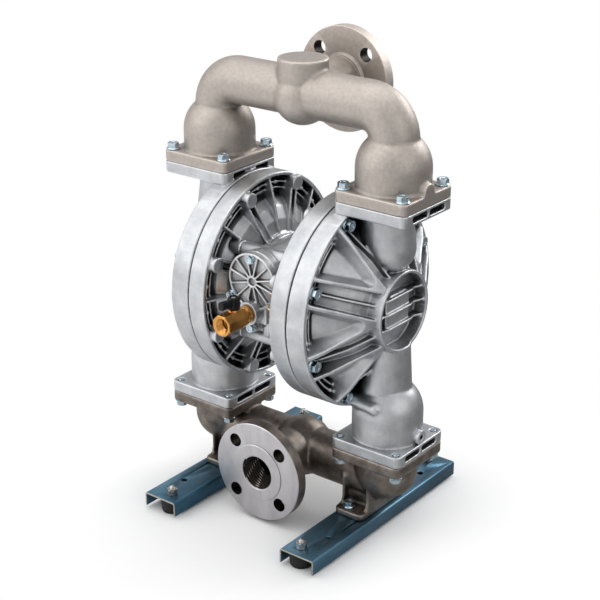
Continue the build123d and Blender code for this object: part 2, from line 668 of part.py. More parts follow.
def air_chamber():
    """Right air chamber: shallow ribbed dish whose closed bosses take the chamber bolts."""
    floor = SEAM_X - RING_FLOOR
    body = turned_about_x(
        [
            (SEAM_X, 0),
            (SEAM_X, RING_RADIUS - SEAM_DEPTH),
            (SEAM_X - SEAM_GAP / 2, RING_RADIUS - SEAM_DEPTH),
            (SEAM_X - SEAM_GAP / 2, RING_RADIUS),
            (RING_INNER_X, RING_RADIUS),
            (RING_INNER_X, RING_RADIUS - RING_WALL),
            (floor, RING_RADIUS - RING_WALL),
            (floor, 108),
            (62, 104),
            (52, 94),
            (44, 78),
            (40, HUB_RADIUS),
            (HUB_X, HUB_RADIUS - 2),
            (HUB_X, 0),
        ]
    )
    for angle in ring_angles():
        for offset in (-5.5, 5.5):
            body += rib_between(
                BOLT_CIRCLE - 4,
                angle + offset * 0.45,
                HUB_RADIUS - 3,
                angle + offset,
                [(0, floor + 1), (0, 50), (1, HUB_X + 1), (1, 48)],
                3.0,
            )
    for step in range(CHAMBER_BOLTS):
        body += rib_between(
            RING_RADIUS - 2,
            BOLT_STEP * step,
            HUB_RADIUS - 3,
            BOLT_STEP * step,
            [(0, floor + 1), (0, RING_INNER_X + 2), (0.4, 47), (1, HUB_X + 1), (1, 48)],
            3.0,
        )
    body += [ring_band(OUTER_BAND, 60, floor + 1), ring_band(INNER_BAND, 62, floor + 1)]
    body += bolt_bosses(RING_INNER_X - 8.5, floor + 1, 10.0)
    for radius, y, z in TIE_TUBES:
        body += cylinder_x(radius, TIE_END, RING_INNER_X + 4, y, z)
    cavity = turned_about_x(
        [
            (SEAM_X + 1, 0),
            (SEAM_X + 1, CLAMP_INNER_RADIUS),
            (SEAM_X - 3, CLAMP_INNER_RADIUS),
            (66, 97),
            (56, 86),
            (SEAM_X - DIAPHRAGM / 2 - INNER_DISC - STROKE - 2, 74),
            (SEAM_X - DIAPHRAGM / 2 - INNER_DISC - STROKE - 2, 0),
        ]
    )
    body -= cavity
    body -= cylinder_x(CLAMP_RADIUS, SEAM_X - DIAPHRAGM / 2, SEAM_X + 1)
    body -= bolt_bosses(RING_INNER_X, SEAM_X + 1, M8 + SLIDE_FIT)
    body -= cylinder_x(ROD_RADIUS + 6, 0, SEAM_X)
    body -= cylinder_x(PILOT_RADIUS + CLEARANCE, 0, SEAM_X, 0, AXIS - PILOT_DROP)
    return body.solid()


def diaphragm():
    """Right rubber diaphragm with a clamped rim and a soft fold."""
    low = SEAM_X - DIAPHRAGM / 2
    high = SEAM_X + DIAPHRAGM / 2
    return turned_about_x(
        [
            (low, ROD_NECK_RADIUS + CLEARANCE),
            (low, DISC_RADIUS + 2),
            (low - 6, 70),
            (low - 7, 78),
            (low - 6, 86),
            (low, CLAMP_INNER_RADIUS - 4),
            (low, CLAMP_RADIUS),
            (high, CLAMP_RADIUS),
            (high, CLAMP_INNER_RADIUS - 5),
            (high - 6, 88),
            (high - 7, 78),
            (high - 6, 68),
            (high, DISC_RADIUS + 1),
            (high, ROD_NECK_RADIUS + CLEARANCE),
        ]
    ).solid()


def inner_disc():
    """Right centre disc on the air side."""
    high = SEAM_X - DIAPHRAGM / 2
    low = high - INNER_DISC
    return turned_about_x(
        [
            (low, ROD_NECK_RADIUS + SLIDE_FIT),
            (low, DISC_RADIUS - 4),
            (low + 4, DISC_RADIUS),
            (high, DISC_RADIUS),
            (high, ROD_NECK_RADIUS + SLIDE_FIT),
        ]
    ).solid()


def outer_disc():
    """Right centre disc on the liquid side, with a blind tapped hub."""
    low = SEAM_X + DIAPHRAGM / 2
    return turned_about_x(
        [
            (low, ROD_NECK_RADIUS + SLIDE_FIT),
            (low, DISC_RADIUS),
            (low + 4, DISC_RADIUS),
            (low + 8, 30),
            (low + OUTER_DISC, 18),
            (low + OUTER_DISC, ROD_NECK_RADIUS + SLIDE_FIT),
        ]
    ).solid()


def disc_nut():
    """Nut on the right end of the rod."""
    low = SEAM_X + DIAPHRAGM / 2 + OUTER_DISC
    nut = Pos(low, 0, AXIS) * Rot(0, 90, 0) * extrude(RegularPolygon(12, 6, major_radius=False), 8)
    return (nut - cylinder_x(ROD_NECK_RADIUS + SLIDE_FIT, low - 1, low + 9)).solid()


def centre_rod():
    """Rod that ties both diaphragms together."""
    shoulder = SEAM_X - DIAPHRAGM / 2 - INNER_DISC
    end = SEAM_X + DIAPHRAGM / 2 + OUTER_DISC + 8
    rod = cylinder_x(ROD_RADIUS, -shoulder, shoulder) + cylinder_x(ROD_NECK_RADIUS, -end, end)
    return rod.solid()


def rod_bushing():
    """Guide bush of the rod in the right end of the centre body."""
    bush = cylinder_x(ROD_RADIUS + 5, HUB_X - 22, HUB_X + 4)
    return (bush - cylinder_x(ROD_RADIUS + SLIDE_FIT, HUB_X - 23, HUB_X + 5)).solid()


def pilot_rod():
    """Pilot rod that the inner discs push at the end of each stroke."""
    end = SEAM_X - DIAPHRAGM / 2 - INNER_DISC - STROKE + PILOT_TRAVEL - CLEARANCE
    return cylinder_x(PILOT_RADIUS, -end, end, 0, AXIS - PILOT_DROP).solid()


def cap_outline(front, back):
    """Outline of the air valve cap and of its seat, between two Y positions."""
    shape = cylinder_y(HOUSING_RADIUS, front, back, 0, VALVE_AXIS)
    shape += block(-19, 19, front, back, INLET_Z - 16, VALVE_AXIS)
    for x, z in cap_bolt_places():
        shape += cylinder_y(7.5, front, back, x, z)
    return shape


def cap_bolt_places():
    """X and Z of the four cap bolts: top, left, right and bottom."""
    return [(0.0, VALVE_AXIS + 31), (-33.0, 327.0), (33.0, 327.0), (0.0, INLET_Z - 22)]


def valve_cap():
    """Ribbed cap of the air valve with the air inlet boss."""
    front = -CAP_SEAT - CAP_THICKNESS
    web = -CAP_SEAT - CAP_WEB
    cap = cap_outline(web, -CAP_SEAT)
    cap += cylinder_y(HOUSING_RADIUS, front, web, 0, VALVE_AXIS) - cylinder_y(
        HOUSING_RADIUS - 3, front - 1, web + 1, 0, VALVE_AXIS
    )
    cap += cylinder_y(8, front, web, 0, VALVE_AXIS)
    for step in range(12):
        spoke = block(6, HOUSING_RADIUS - 1, front, web, -1.2, 1.2)
        cap += Pos(0, 0, VALVE_AXIS) * Rot(0, 30 * step + 15, 0) * spoke
    cap += cylinder_y(INLET_BOSS_RADIUS, -INLET_BOSS_FACE, -CAP_SEAT, 0, INLET_Z)
    cap -= cylinder_y(5, front - 1, front + 5, 0, VALVE_AXIS)
    cap -= cylinder_y(NIPPLE_RADIUS + SLIDE_FIT, -INLET_BOSS_FACE - 1, -CAP_SEAT - 3, 0, INLET_Z)
    cap -= cylinder_y(AIR_BORE, -INLET_BOSS_FACE, -CAP_SEAT + 1, 0, INLET_Z)
    for x, z in cap_bolt_places():
        cap += cylinder_y(6.5, front, -CAP_SEAT, x, z)
        cap -= cylinder_y(M6 + CLEARANCE, front - 1, -CAP_SEAT + 1, x, z)
    return cap.solid()


def centre_body():
    """Casting between the air chambers with the rod guide, the air valve housing and the exhaust."""
    hub = cylinder_x(52, -HUB_X, HUB_X) + cylinder_x(HUB_RADIUS - 2, -HUB_X, -HUB_X + 6)
    hub += cylinder_x(HUB_RADIUS - 2, HUB_X - 6, HUB_X)
    housing = cylinder_y(HOUSING_RADIUS - 2, -CAP_SEAT, 10, 0, VALVE_AXIS)
    housing += cap_outline(-CAP_SEAT, -CAP_SEAT + 12)
    housing += cylinder_y(17, -CAP_SEAT, 0, 0, INLET_Z)
    exhaust = cylinder_y(26, 0, EXHAUST_FACE, 0, AXIS)
    body = hub + housing + exhaust
    for radius, y, z in TIE_TUBES:
        body += cylinder_x(radius, -TIE_END, TIE_END, y, z)
        body += block(-5, 5, y - radius / 2, y / 2, min(z, AXIS), max(z, AXIS))
    body -= cylinder_x(ROD_RADIUS + 1, -HUB_X - 1, HUB_X + 1)
    for side in (-1, 1):
        start, end = side * (HUB_X - 22), side * (HUB_X + 1)
        body -= cylinder_x(ROD_RADIUS + 5, start, end)
    body -= cylinder_x(PILOT_RADIUS + SLIDE_FIT, -HUB_X - 5, HUB_X + 5, 0, AXIS - PILOT_DROP)
    body -= cylinder_y(SLEEVE_RADIUS, -CAP_SEAT - 1, -CAP_SEAT + SLEEVE_LENGTH, 0, VALVE_AXIS)
    body -= cylinder_y(AIR_BORE, -CAP_SEAT - 1, -CAP_SEAT + 30, 0, INLET_Z)
    body -= cylinder_z(AIR_BORE - 2, INLET_Z, VALVE_AXIS, 0, -CAP_SEAT + 22)
    body -= cylinder_y(13, 22, EXHAUST_FACE + 1, 0, AXIS)
    for x, z in cap_bolt_places():
        body -= cylinder_y(M6 + SLIDE_FIT, -CAP_SEAT - 1, -CAP_SEAT + 11, x, z)
    return body.solid()


def spool_sleeve():
    """Bronze sleeve of the air valve with round ports."""
    start = -CAP_SEAT
    end = start + SLEEVE_LENGTH
    sleeve = cylinder_y(SLEEVE_RADIUS - SLIDE_FIT, start, end, 0, VALVE_AXIS)
    sleeve -= cylinder_y(SPOOL_RADIUS + SLIDE_FIT, start - 1, end + 1, 0, VALVE_AXIS)
    for share in (0.2, 0.4, 0.6, 0.8):
        y = start + share * SLEEVE_LENGTH
        sleeve -= cylinder_z(3, VALVE_AXIS - SLEEVE_RADIUS - 1, VALVE_AXIS + SLEEVE_RADIUS + 1, 0, y)
    return sleeve.solid()


def spool():
    """Air valve spool with three lands."""
    start = -CAP_SEAT + SPOOL_TRAVEL + 1
    end = start + SLEEVE_LENGTH - 2 * SPOOL_TRAVEL - 2
    core = cylinder_y(SPOOL_RADIUS - 4, start, end, 0, VALVE_AXIS)
    for share in (0.0, 0.43, 0.86):
        land = start + share * (end - start)
        core += cylinder_y(SPOOL_RADIUS, land, land + 0.14 * (end - start), 0, VALVE_AXIS)
    return core.solid()


def octagon_y(flats, start, end, z):
    """Octagonal bar along Y with a flat on top."""
    face = Rot(0, 0, 22.5) * RegularPolygon(flats / 2, 8, major_radius=False)
    return Pos(0, end, z) * Rot(90, 0, 0) * extrude(face, end - start)


def shut_off_body():
    """Brass body of the air shut-off valve, screwed into the inlet boss."""
    body = octagon_y(BODY_FLATS, -MOUTH_FACE, -BODY_START, INLET_Z)
    body += cylinder_y(11.5, -BODY_START, -INLET_BOSS_FACE - 1, 0, INLET_Z)
    body += cylinder_y(NIPPLE_RADIUS, -BODY_START, -CAP_SEAT - 4, 0, INLET_Z)
    body += cylinder_z(6, INLET_Z, LEVER_BASE - CLEARANCE, 0, -STEM_Y)
    body -= cylinder_y(MOUTH_BORE, -MOUTH_FACE - 1, -MOUTH_FACE + MOUTH_DEPTH, 0, INLET_Z)
    body -= cylinder_y(BALL_VALVE_BORE, -MOUTH_FACE, -CAP_SEAT, 0, INLET_Z)
    body -= Pos(0, -STEM_Y, INLET_Z) * Sphere(BALL_VALVE_RADIUS + CLEARANCE)
    body -= cylinder_z(STEM_RADIUS + SLIDE_FIT, INLET_Z, LEVER_TOP, 0, -STEM_Y)
    return body.solid()


def shut_off_ball():
    """Bored ball of the air shut-off valve."""
    ball = Pos(0, -STEM_Y, INLET_Z) * Sphere(BALL_VALVE_RADIUS)
    ball -= cylinder_y(BALL_VALVE_BORE, -MOUTH_FACE, -BODY_START, 0, INLET_Z)
    slot_floor = INLET_Z + BALL_VALVE_RADIUS - TONGUE_HEIGHT - CLEARANCE
    ball -= tongue(TONGUE_WIDTH / 2 + CLEARANCE / 2, BALL_VALVE_RADIUS, slot_floor)
    return ball.solid()


def tongue(half_width, half_length, low):
    """Flat tongue of the stem, or the slot for it, in the top of the valve ball."""
    high = INLET_Z + BALL_VALVE_RADIUS + 1
    return block(-half_width, half_width, -STEM_Y - half_length, -STEM_Y + half_length, low, high)


def shut_off_stem():
    """Stem between the lever and the ball of the air shut-off valve."""
    foot = INLET_Z + BALL_VALVE_RADIUS + CLEARANCE
    stem = cylinder_z(STEM_RADIUS, foot, LEVER_TOP - 3, 0, -STEM_Y)
    stem += tongue(TONGUE_WIDTH / 2, STEM_RADIUS * 0.8, foot - CLEARANCE - TONGUE_HEIGHT)
    return stem.solid()


def shut_off_lever():
    """Black wing lever: a round hub and one flat finger towards the front."""
    hub = cylinder_z(8, LEVER_BASE, LEVER_TOP, 0, -STEM_Y)
    finger = block(-3.5, 3.5, -STEM_Y - LEVER_REACH, -STEM_Y, LEVER_BASE, LEVER_TOP)
    finger = fillet(finger.edges().filter_by(Axis.Z).group_by(Axis.Y)[0], 3)
    lever = hub + finger
    lever -= cylinder_z(STEM_RADIUS, LEVER_BASE - 1, LEVER_TOP - 3, 0, -STEM_Y)
    lever -= cylinder_z(4, LEVER_TOP - 3, LEVER_TOP + 1, 0, -STEM_Y)
    return lever.solid()


def lever_screw():
    """Screw that holds the lever on its stem."""
    return cylinder_z(3.5, LEVER_TOP - 3, LEVER_TOP - 0.5, 0, -STEM_Y).solid()


def silencer():
    """Exhaust silencer on the rear of the centre body."""
    body = cylinder_y(SILENCER_RADIUS, EXHAUST_FACE + 6, SILENCER_END)
    body = fillet(body.edges().filter_by(GeomType.CIRCLE), 4)
    body += cylinder_y(16, EXHAUST_FACE, EXHAUST_FACE + 8) + cylinder_y(12.9, 30, EXHAUST_FACE)
    body -= cylinder_y(9, 29, SILENCER_END - 10)
    return body.solid()


def valve_seat(top):
    """Ring seat of a check ball, in its recess under the given level on the right side."""
    seat = cylinder_z(SEAT_RADIUS - CLEARANCE, top - SEAT_HEIGHT, top, PORT_X)
    seat -= cylinder_z(SEAT_BORE, top - SEAT_HEIGHT - 1, top + 1, PORT_X)
    cone = Pos(PORT_X, 0, top - SEAT_BEVEL / 2) * Cone(SEAT_BORE, SEAT_BORE + SEAT_BEVEL, SEAT_BEVEL)
    return (seat - cone).solid()


def check_ball(top):
    """Rubber check ball just over its seat."""
    level = top + BALL_SEATING + CLEARANCE
    return (Pos(PORT_X, 0, level) * Sphere(BALL_RADIUS)).solid()


def flange_bolt(x, y, head_level, tip, upward):
    """Flanged hexagon bolt along Z with its head above or below its seat."""
    way = 1 if upward else -1
    washer_end = head_level + way * M8_FLANGE_HEIGHT
    head_end = washer_end + way * M8_HEAD_HEIGHT
    low, high = sorted((head_level, washer_end))
    bolt = cylinder_z(M8_FLANGE, low, high, x, y)
    low, high = sorted((washer_end, head_end))
    bolt += hexagon_z(2 * M8_HEAD, low, high, x, y)
    low, high = sorted((head_level, tip))
    return (bolt + cylinder_z(M8, low, high, x, y)).solid()


def manifold_bolts(head_level, tip, upward):
    """The bolts of one manifold, four at each port."""
    bolts = []
    for side in (-1, 1):
        for x, y in square_corners(BOLT_PITCH, side * PORT_X):
            bolts.append(flange_bolt(x, y, head_level, tip, upward))
    return Compound(bolts)


def pedestal_bolts():
    """Bolts from the pads of the inlet manifold through the rails."""
    return Compound(
        [
            flange_bolt(i * PEDESTAL_BOLT_X, j * PEDESTAL_BOLT_Y, RAIL_TOP + 9, RAIL_TOP - 12, True)
            for i in (-1, 1)
            for j in (-1, 1)
        ]
    )


def pedestal_nuts():
    """Nuts of the pedestal bolts under the rails."""
    nuts = []
    top = RAIL_TOP - RAIL_WALL
    for i in (-1, 1):
        for j in (-1, 1):
            x, y = i * PEDESTAL_BOLT_X, j * PEDESTAL_BOLT_Y
            nut = hexagon_z(13, top - 6.5, top, x, y) - cylinder_z(M8 + SLIDE_FIT, 0, RAIL_TOP, x, y)
            nuts.append(nut.solid())
    return Compound(nuts)


def chamber_bolts():
    """Bolts from the outer chamber into the closed bosses of the air chamber, right side."""
    seat = CHAMBER_BOLT_SEAT
    bolts = []
    for angle in ring_angles():
        y, z = on_ring(BOLT_CIRCLE, angle)
        bolt = cylinder_x(M8_FLANGE, seat, seat + M8_FLANGE_HEIGHT, y, z)
        head = extrude(RegularPolygon(M8_HEAD, 6, major_radius=False), M8_HEAD_HEIGHT)
        bolt += Pos(seat + M8_FLANGE_HEIGHT, y, z) * Rot(0, 90, 0) * head
        bolt += cylinder_x(M8, RING_INNER_X + 1, seat, y, z)
        bolts.append(bolt.solid())
    return Compound(bolts)


def cap_bolts():
    """Hexagon bolts of the air valve cap."""
    seat = -CAP_SEAT - CAP_THICKNESS
    bolts = []
    for x, z in cap_bolt_places():
        head = Pos(x, seat, z) * Rot(90, 0, 0) * extrude(RegularPolygon(M6_HEAD, 6, major_radius=False), 4.5)
        bolts.append((head + cylinder_y(M6, seat, -CAP_SEAT + 10, x, z)).solid())
    return Compound(bolts)


def both_sides(name, shape, parts):
    """Add a right-hand piece and its mirror image under two names."""
    parts[name + "_right"] = shape
    parts[name + "_left"] = other_side(shape)


def build_parts():
    """All pieces of the pump by node name."""
    parts = {}
    parts["base_rail_right"] = base_rail(1)
    parts["base_rail_left"] = base_rail(-1)
    parts["rubber_feet"] = at_feet(rubber_foot)
    parts["foot_studs"] = at_feet(foot_stud)
    parts["foot_washers"] = at_feet(foot_washer)
    parts["foot_nuts"] = at_feet(foot_nut)
    parts["inlet_manifold"] = inlet_manifold()
    parts["outlet_manifold"] = outlet_manifold()
    both_sides("outer_chamber", outer_chamber(), parts)
    both_sides("air_chamber", air_chamber(), parts)
    both_sides("diaphragm", diaphragm(), parts)
    both_sides("inner_disc", inner_disc(), parts)
    both_sides("outer_disc", outer_disc(), parts)
    both_sides("disc_nut", disc_nut(), parts)
    both_sides("rod_bushing", rod_bushing(), parts)
    parts["centre_rod"] = centre_rod()
    parts["pilot_rod"] = pilot_rod()
    parts["centre_body"] = centre_body()
    parts["valve_cap"] = valve_cap()
    parts["spool_sleeve"] = spool_sleeve()
    parts["spool"] = spool()
    parts["shut_off_body"] = shut_off_body()
    parts["shut_off_ball"] = shut_off_ball()
    parts["shut_off_stem"] = shut_off_stem()
    parts["shut_off_lever"] = shut_off_lever()
    parts["lever_screw"] = lever_screw()
    parts["exhaust_silencer"] = silencer()
    both_sides("inlet_seat", valve_seat(LOWER_JOINT), parts)
    both_sides("outlet_seat", valve_seat(UPPER_JOINT), parts)
    both_sides("inlet_ball", check_ball(LOWER_JOINT), parts)
    both_sides("outlet_ball", check_ball(UPPER_JOINT), parts)
    parts["inlet_manifold_bolts"] = manifold_bolts(LOWER_PLATE, LOWER_TOP - 2, False)
    parts["outlet_manifold_bolts"] = manifold_bolts(UPPER_PLATE, UPPER_BOTTOM + 2, True)
    parts["pedestal_bolts"] = pedestal_bolts()
    parts["pedestal_nuts"] = pedestal_nuts()
    both_sides("chamber_bolts", chamber_bolts(), parts)
    parts["cap_bolts"] = cap_bolts()
    return parts


os.makedirs("parts", exist_ok=True)
for name, shape in build_parts().items():
    export_step(shape, f"parts/{name}.step")
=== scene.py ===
# %% [markdown]
# # An air operated diaphragm pump
#
# The pump's parts come in as a CAD model: each part is a mesh that already stands in its right place and
# already belongs to the body that it moves with. This lesson gives those parts the look of the real
# pump. The castings get soft fillets, the bolts, the brass valve and the feet are made anew, and every
# piece gets a finish that is worked out from what the real one is made of.

import json
from math import cos, pi, radians, sin, tau

import bmesh
import bpy
import numpy as np
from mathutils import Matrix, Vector


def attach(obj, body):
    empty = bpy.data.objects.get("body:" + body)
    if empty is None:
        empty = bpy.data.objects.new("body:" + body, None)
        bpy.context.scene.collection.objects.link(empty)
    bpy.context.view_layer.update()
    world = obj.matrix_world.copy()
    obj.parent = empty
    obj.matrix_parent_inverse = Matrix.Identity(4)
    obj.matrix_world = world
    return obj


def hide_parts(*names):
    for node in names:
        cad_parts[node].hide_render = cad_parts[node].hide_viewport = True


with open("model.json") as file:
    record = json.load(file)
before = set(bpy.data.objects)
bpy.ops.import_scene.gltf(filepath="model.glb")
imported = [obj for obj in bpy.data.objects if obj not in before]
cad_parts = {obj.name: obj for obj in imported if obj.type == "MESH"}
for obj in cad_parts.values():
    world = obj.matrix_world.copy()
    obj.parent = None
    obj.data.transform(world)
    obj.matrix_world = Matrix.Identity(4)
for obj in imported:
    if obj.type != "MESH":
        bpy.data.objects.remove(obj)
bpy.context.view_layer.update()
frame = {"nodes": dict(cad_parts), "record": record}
NODES = frame["nodes"]
MM = 0.001

# Places in mm that several pieces share
ROD_LEVEL = 317.5
PORT_X = 140.5
PORT_BOLT = 44
FLANGE_FACE = 101.5
SUCTION_LEVEL = 74.7
DISCHARGE_LEVEL = 576.0
RAIL_TOP = 24.2

# %% [markdown]
# ## Colours and nodes
#
# Blender's shaders count light in linear values, while a colour picker or a web page gives sRGB hex
# values. One function turns the one into the other, so that every colour below can be written as hex.
# One more function adds a node, sets its properties and joins its sockets, so that a material reads
# as a short list of what feeds what. Three short ones stand for the steps that come back most: a
# value spread over a range, a mix of two colours and a colour made darker.

# %% Helpers for every material
def linear(code):
    """Each sRGB channel s becomes ((s + 0.055) / 1.055) to the power 2.4, or s / 12.92 when it is dark."""
    channels = [int(code[i:i + 2], 16) / 255 for i in (1, 3, 5)]
    return [s / 12.92 if s <= 0.04045 else ((s + 0.055) / 1.055) ** 2.4 for s in channels] + [1.0]


def add(tree, kind, sockets=None, **settings):
    """Adds one node. A socket gets a plain value, or the output that it is given as a link."""
    made = tree.nodes.new("ShaderNode" + kind)
    for name, value in settings.items():
        setattr(made, name, value)
    for name, value in (sockets or {}).items():
        if isinstance(value, bpy.types.NodeSocket):
            tree.links.new(value, made.inputs[name])
        else:
            made.inputs[name].default_value = value
    return made


def ramp(tree, value, low, high, to_low=0.0, to_high=1.0):
    """A value between low and high, spread evenly between to_low and to_high and held at both ends."""
    sockets = {"Value": value, "From Min": low, "From Max": high, "To Min": to_low, "To Max": to_high}
    return add(tree, "MapRange", sockets).outputs["Result"]


def mixed(tree, share, low, high):
    """A colour between two others. 6, 7 and 2 are the colour sockets of this node."""
    return add(tree, "Mix", {"Factor": share, 6: low, 7: high}, data_type="RGBA").outputs[2]


def dimmed(tree, colour, share):
    """A colour times a share."""
    return add(tree, "VectorMath", {0: colour, "Scale": share}, operation="SCALE").outputs["Vector"]


# %% [markdown]
# ## Finishes
#
# Almost everything here is bare metal, and bare metal shows the room more than it shows its own colour.
# What tells one metal from another is how blurred that reflection is and how it changes from place to
# place. So each finish is a metallic surface whose colour and roughness wander between two values on
# a soft noise, with a bump that is as coarse as the real grain. On the castings the edges are a little
# brighter, where they rub, and the creases and the hollows between the ribs get painted shade: their
# colour is made darker. Ambient occlusion finds those hollows: it asks at every point how much of the
# space over it is free.

# %% One recipe for a surface that wanders between two states
def surface(name, dark, light, patch, rough, grain, depth, metallic=1.0, edges=0.0, stretch=(1, 1, 1)):
    """dark and light are hex colours and patch is the size of their patches in mm. rough holds the lowest
    and highest roughness. grain is the size of the bump's grains in mm and depth their height in mm. Above 0,
    edges paints shade into the hollows and creases and says by how much rubbed edges are brighter than flat skin."""
    made = bpy.data.materials.new(name)
    made.use_nodes = True
    tree = made.node_tree
    shader = tree.nodes["Principled BSDF"]
    place = add(tree, "TexCoord").outputs["Object"]
    along = add(tree, "Mapping", {"Vector": place, "Scale": stretch}).outputs["Vector"]
    patches = add(tree, "TexNoise", {"Vector": along, "Scale": 1 / (patch * MM), "Detail": 5.0, "Roughness": 0.62})
    grains = add(tree, "TexNoise", {"Vector": along, "Scale": 1 / (grain * MM), "Detail": 3.0, "Roughness": 0.5})
    shade = mixed(tree, ramp(tree, patches.outputs["Fac"], 0.32, 0.68), linear(dark), linear(light))
    if edges:
        # Painted shade: ambient occlusion darkens the colour, down to a tenth, where little space over a point is
        # free.
        open_sky = add(tree, "AmbientOcclusion", {"Distance": 28 * MM}, samples=6).outputs["AO"]
        shade = dimmed(tree, shade, ramp(tree, open_sky, 0.12, 0.60, 0.10, 1.0))
        # Pointiness makes convex edges lighter, as rubbed wear, and makes creases darker, as painted shade.
        corner = add(tree, "NewGeometry").outputs["Pointiness"]
        shade = dimmed(tree, shade, ramp(tree, corner, 0.44, 0.56, 1 - edges, 1 + edges))
    tree.links.new(shade, shader.inputs["Base Color"])
    gloss = ramp(tree, grains.outputs["Fac"], 0.3, 0.7, *rough)
    tree.links.new(gloss, shader.inputs["Roughness"])
    relief = add(tree, "Bump", {"Height": grains.outputs["Fac"], "Strength": 1.0, "Distance": depth * MM})
    tree.links.new(relief.outputs["Normal"], shader.inputs["Normal"])
    shader.inputs["Metallic"].default_value = metallic
    return made


# %% The pump's finishes
# Finishes with edges get painted shade in their hollows and creases, and lighter rubbed edges.
FINISH = {
    # High pressure die casting, tumbled: even, satin, with cold patches where the metal met the die.
    "die_cast_aluminium": surface(
        "die cast aluminium, tumbled", "#B2B4B8", "#CDCFD1", 24, (0.34, 0.48), 1.4, 0.07, edges=0.4),
    # Gravity casting out of a sand lined mould: a warmer grey and a grain that can be felt.
    "gravity_cast_aluminium": surface(
        "gravity cast aluminium, sand grain", "#B0A8A1", "#BEB6AF", 5, (0.42, 0.60), 1.0, 0.18, edges=0.35),
    # Turned metal: brighter and smoother than cast skin.
    "machined_aluminium": surface("machined aluminium, turned", "#A9AAAC", "#C2C3C4", 20, (0.26, 0.38), 0.8, 0.01),
    # Pressed sheet with a blue chromate on zinc: a cold blue that drifts along the rail.
    "zinc_plated_rail": surface(
        "pressed steel, blue zinc plate", "#3A6078", "#6F93A8", 70, (0.34, 0.44), 4.0, 0.006, stretch=(1, 0.35, 1)),
    # The same plating on small forged bolts, where it looks brighter.
    "zinc_plated_bolt": surface(
        "forged steel bolt, blue zinc plate", "#9CB1BE", "#D3E0E7", 5, (0.14, 0.28), 0.9, 0.015),
    # Warm, clean grey with a tight reflection.
    "stainless_steel": surface("stainless steel, turned", "#A7A5A1", "#C3C1BD", 12, (0.20, 0.32), 0.7, 0.006),
    # Three rubbers, all nearly black: the foot dull and dusty, the diaphragm with its fabric, the ball ground.
    "foot_rubber": surface(
        "moulded rubber, black", "#161616", "#242423", 14, (0.62, 0.80), 1.2, 0.05, metallic=0.0),
    "diaphragm_rubber": surface(
        "fabric backed rubber, moulded", "#1B1B1D", "#29292B", 18, (0.55, 0.72), 1.0, 0.04, metallic=0.0),
    "ball_rubber": surface("ground rubber ball", "#1E1E20", "#2C2C2E", 10, (0.48, 0.62), 0.8, 0.02, metallic=0.0),
    # A deep yellow metal with sharp reflections, the one warm colour on the pump.
    "brass": surface("brass, forged and turned", "#DA9C52", "#E9B069", 60, (0.20, 0.28), 0.9, 0.002),
    # Smooth black with a small highlight.
    "black_plastic": surface(
        "glass filled nylon, black", "#050506", "#0B0B0C", 9, (0.26, 0.36), 0.9, 0.008, metallic=0.0),
    # Two pale plastics: one turned smooth, one rough and full of pores.
    "bearing_plastic": surface("acetal, turned", "#D9D5C8", "#E6E3D8", 10, (0.40, 0.50), 0.9, 0.01, metallic=0.0),
    "silencer_plastic": surface(
        "sintered polyethylene", "#E2E0DA", "#F0EEE9", 8, (0.70, 0.85), 1.2, 0.12, metallic=0.0),
}
FINISH["black_plastic"].node_tree.nodes["Principled BSDF"].inputs["Specular IOR Level"].default_value = 0.3
print("finishes:", len(FINISH))

# %% [markdown]
# ## Finishes for single places
#
# Some faces look different from the rest of their piece: the sheared end of a rail, the inside of a bolt hole,
# painted nearly black as shade, and the flange that was faced on a lathe. One material with a painted mask could
# show that too. Here the faces get a second material instead, because a face's own place and direction already
# tell where it lies, and a sharp border between two finishes is what the tools leave.

# %% Finishes for one place only
# Painted shade: a darker copy of the gravity cast finish, for the lower manifold that sits in shade under the pump.
PAINTED_SHADE_CAST = surface(
    "gravity cast aluminium, darker copy, painted shade", "#6B635D", "#968D85", 16, (0.34, 0.52), 1.1, 0.12, edges=0.4)
# Sheared ends of the rails: a pale rim where the blue plating is thin.
CUT_STEEL = surface("sheared steel edge, thin zinc", "#B9B3A4", "#D8D2C2", 5, (0.34, 0.5), 0.8, 0.02)
# Painted shade: threads and bolt holes are painted almost black, as if in deep shade.
PAINTED_SHADE_BORE = surface("aluminium thread, painted nearly black as shade", "#1C1917", "#38332F", 3, (0.3, 0.5), 0.8, 0.03)
# Painted light: the valve cap gets a paler copy of the die cast finish, which lifts it out of the shade of the rims.
PAINTED_LIGHT_CAP = surface(
    "die cast aluminium, paler copy, painted light", "#C6C7C9", "#DEDFE0", 18, (0.36, 0.48), 0.9, 0.04, edges=0.3)
# Faced flanges: bright and nearly smooth.
TURNED_FLANGE = surface(
    "cast aluminium flange, faced on a lathe", "#C8C5C8", "#E0DEE0", 26, (0.28, 0.42), 1.0, 0.015,
    stretch=(1, 1, 0.4))

# %% [markdown]
# ## Every CAD part wears its finish
#
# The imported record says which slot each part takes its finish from. A part that stays as it came
# is still a proper piece of the pump, so it gets its material here. The parts that are made anew
# further down take theirs from the same table.

# %% Put the finishes on the CAD parts
SLOT = {part["node"]: part["material_slot"] for part in frame["record"]["subparts"]}

for name, part in NODES.items():
    part.data.materials.clear()
    part.data.materials.append(FINISH[SLOT[name]])
print("finished CAD parts:", len(NODES))

# %% [markdown]
# ## Castings
#
# A casting has no sharp inner corner: metal has to flow round every rib, so each rib grows out of its
# wall with a fillet. The CAD model leaves most of those fillets out. Rounding hundreds of edges by hand
# would be slow, so the mesh is rebuilt instead: a copy of the part is cut into cubes of at most two
# millimetres, wrapped in a fresh skin, and that skin is relaxed a little. Sharp edges come out
# rounded by about one cube, which is what the real die gives. Whatever is laid into the copy before
# that, such as a boss or a lug, grows together with it in the same way.

# %% Meshes from numpy surfaces
def new_piece(name, mesh, body, slot, finish=None):
    """Puts a finished mesh in the scene, on the body that it moves with."""
    made = bpy.data.objects.new(name, mesh)
    bpy.context.scene.collection.objects.link(made)
    mesh.materials.clear()
    mesh.materials.append(finish or FINISH[slot])
    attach(made, body)
    return made


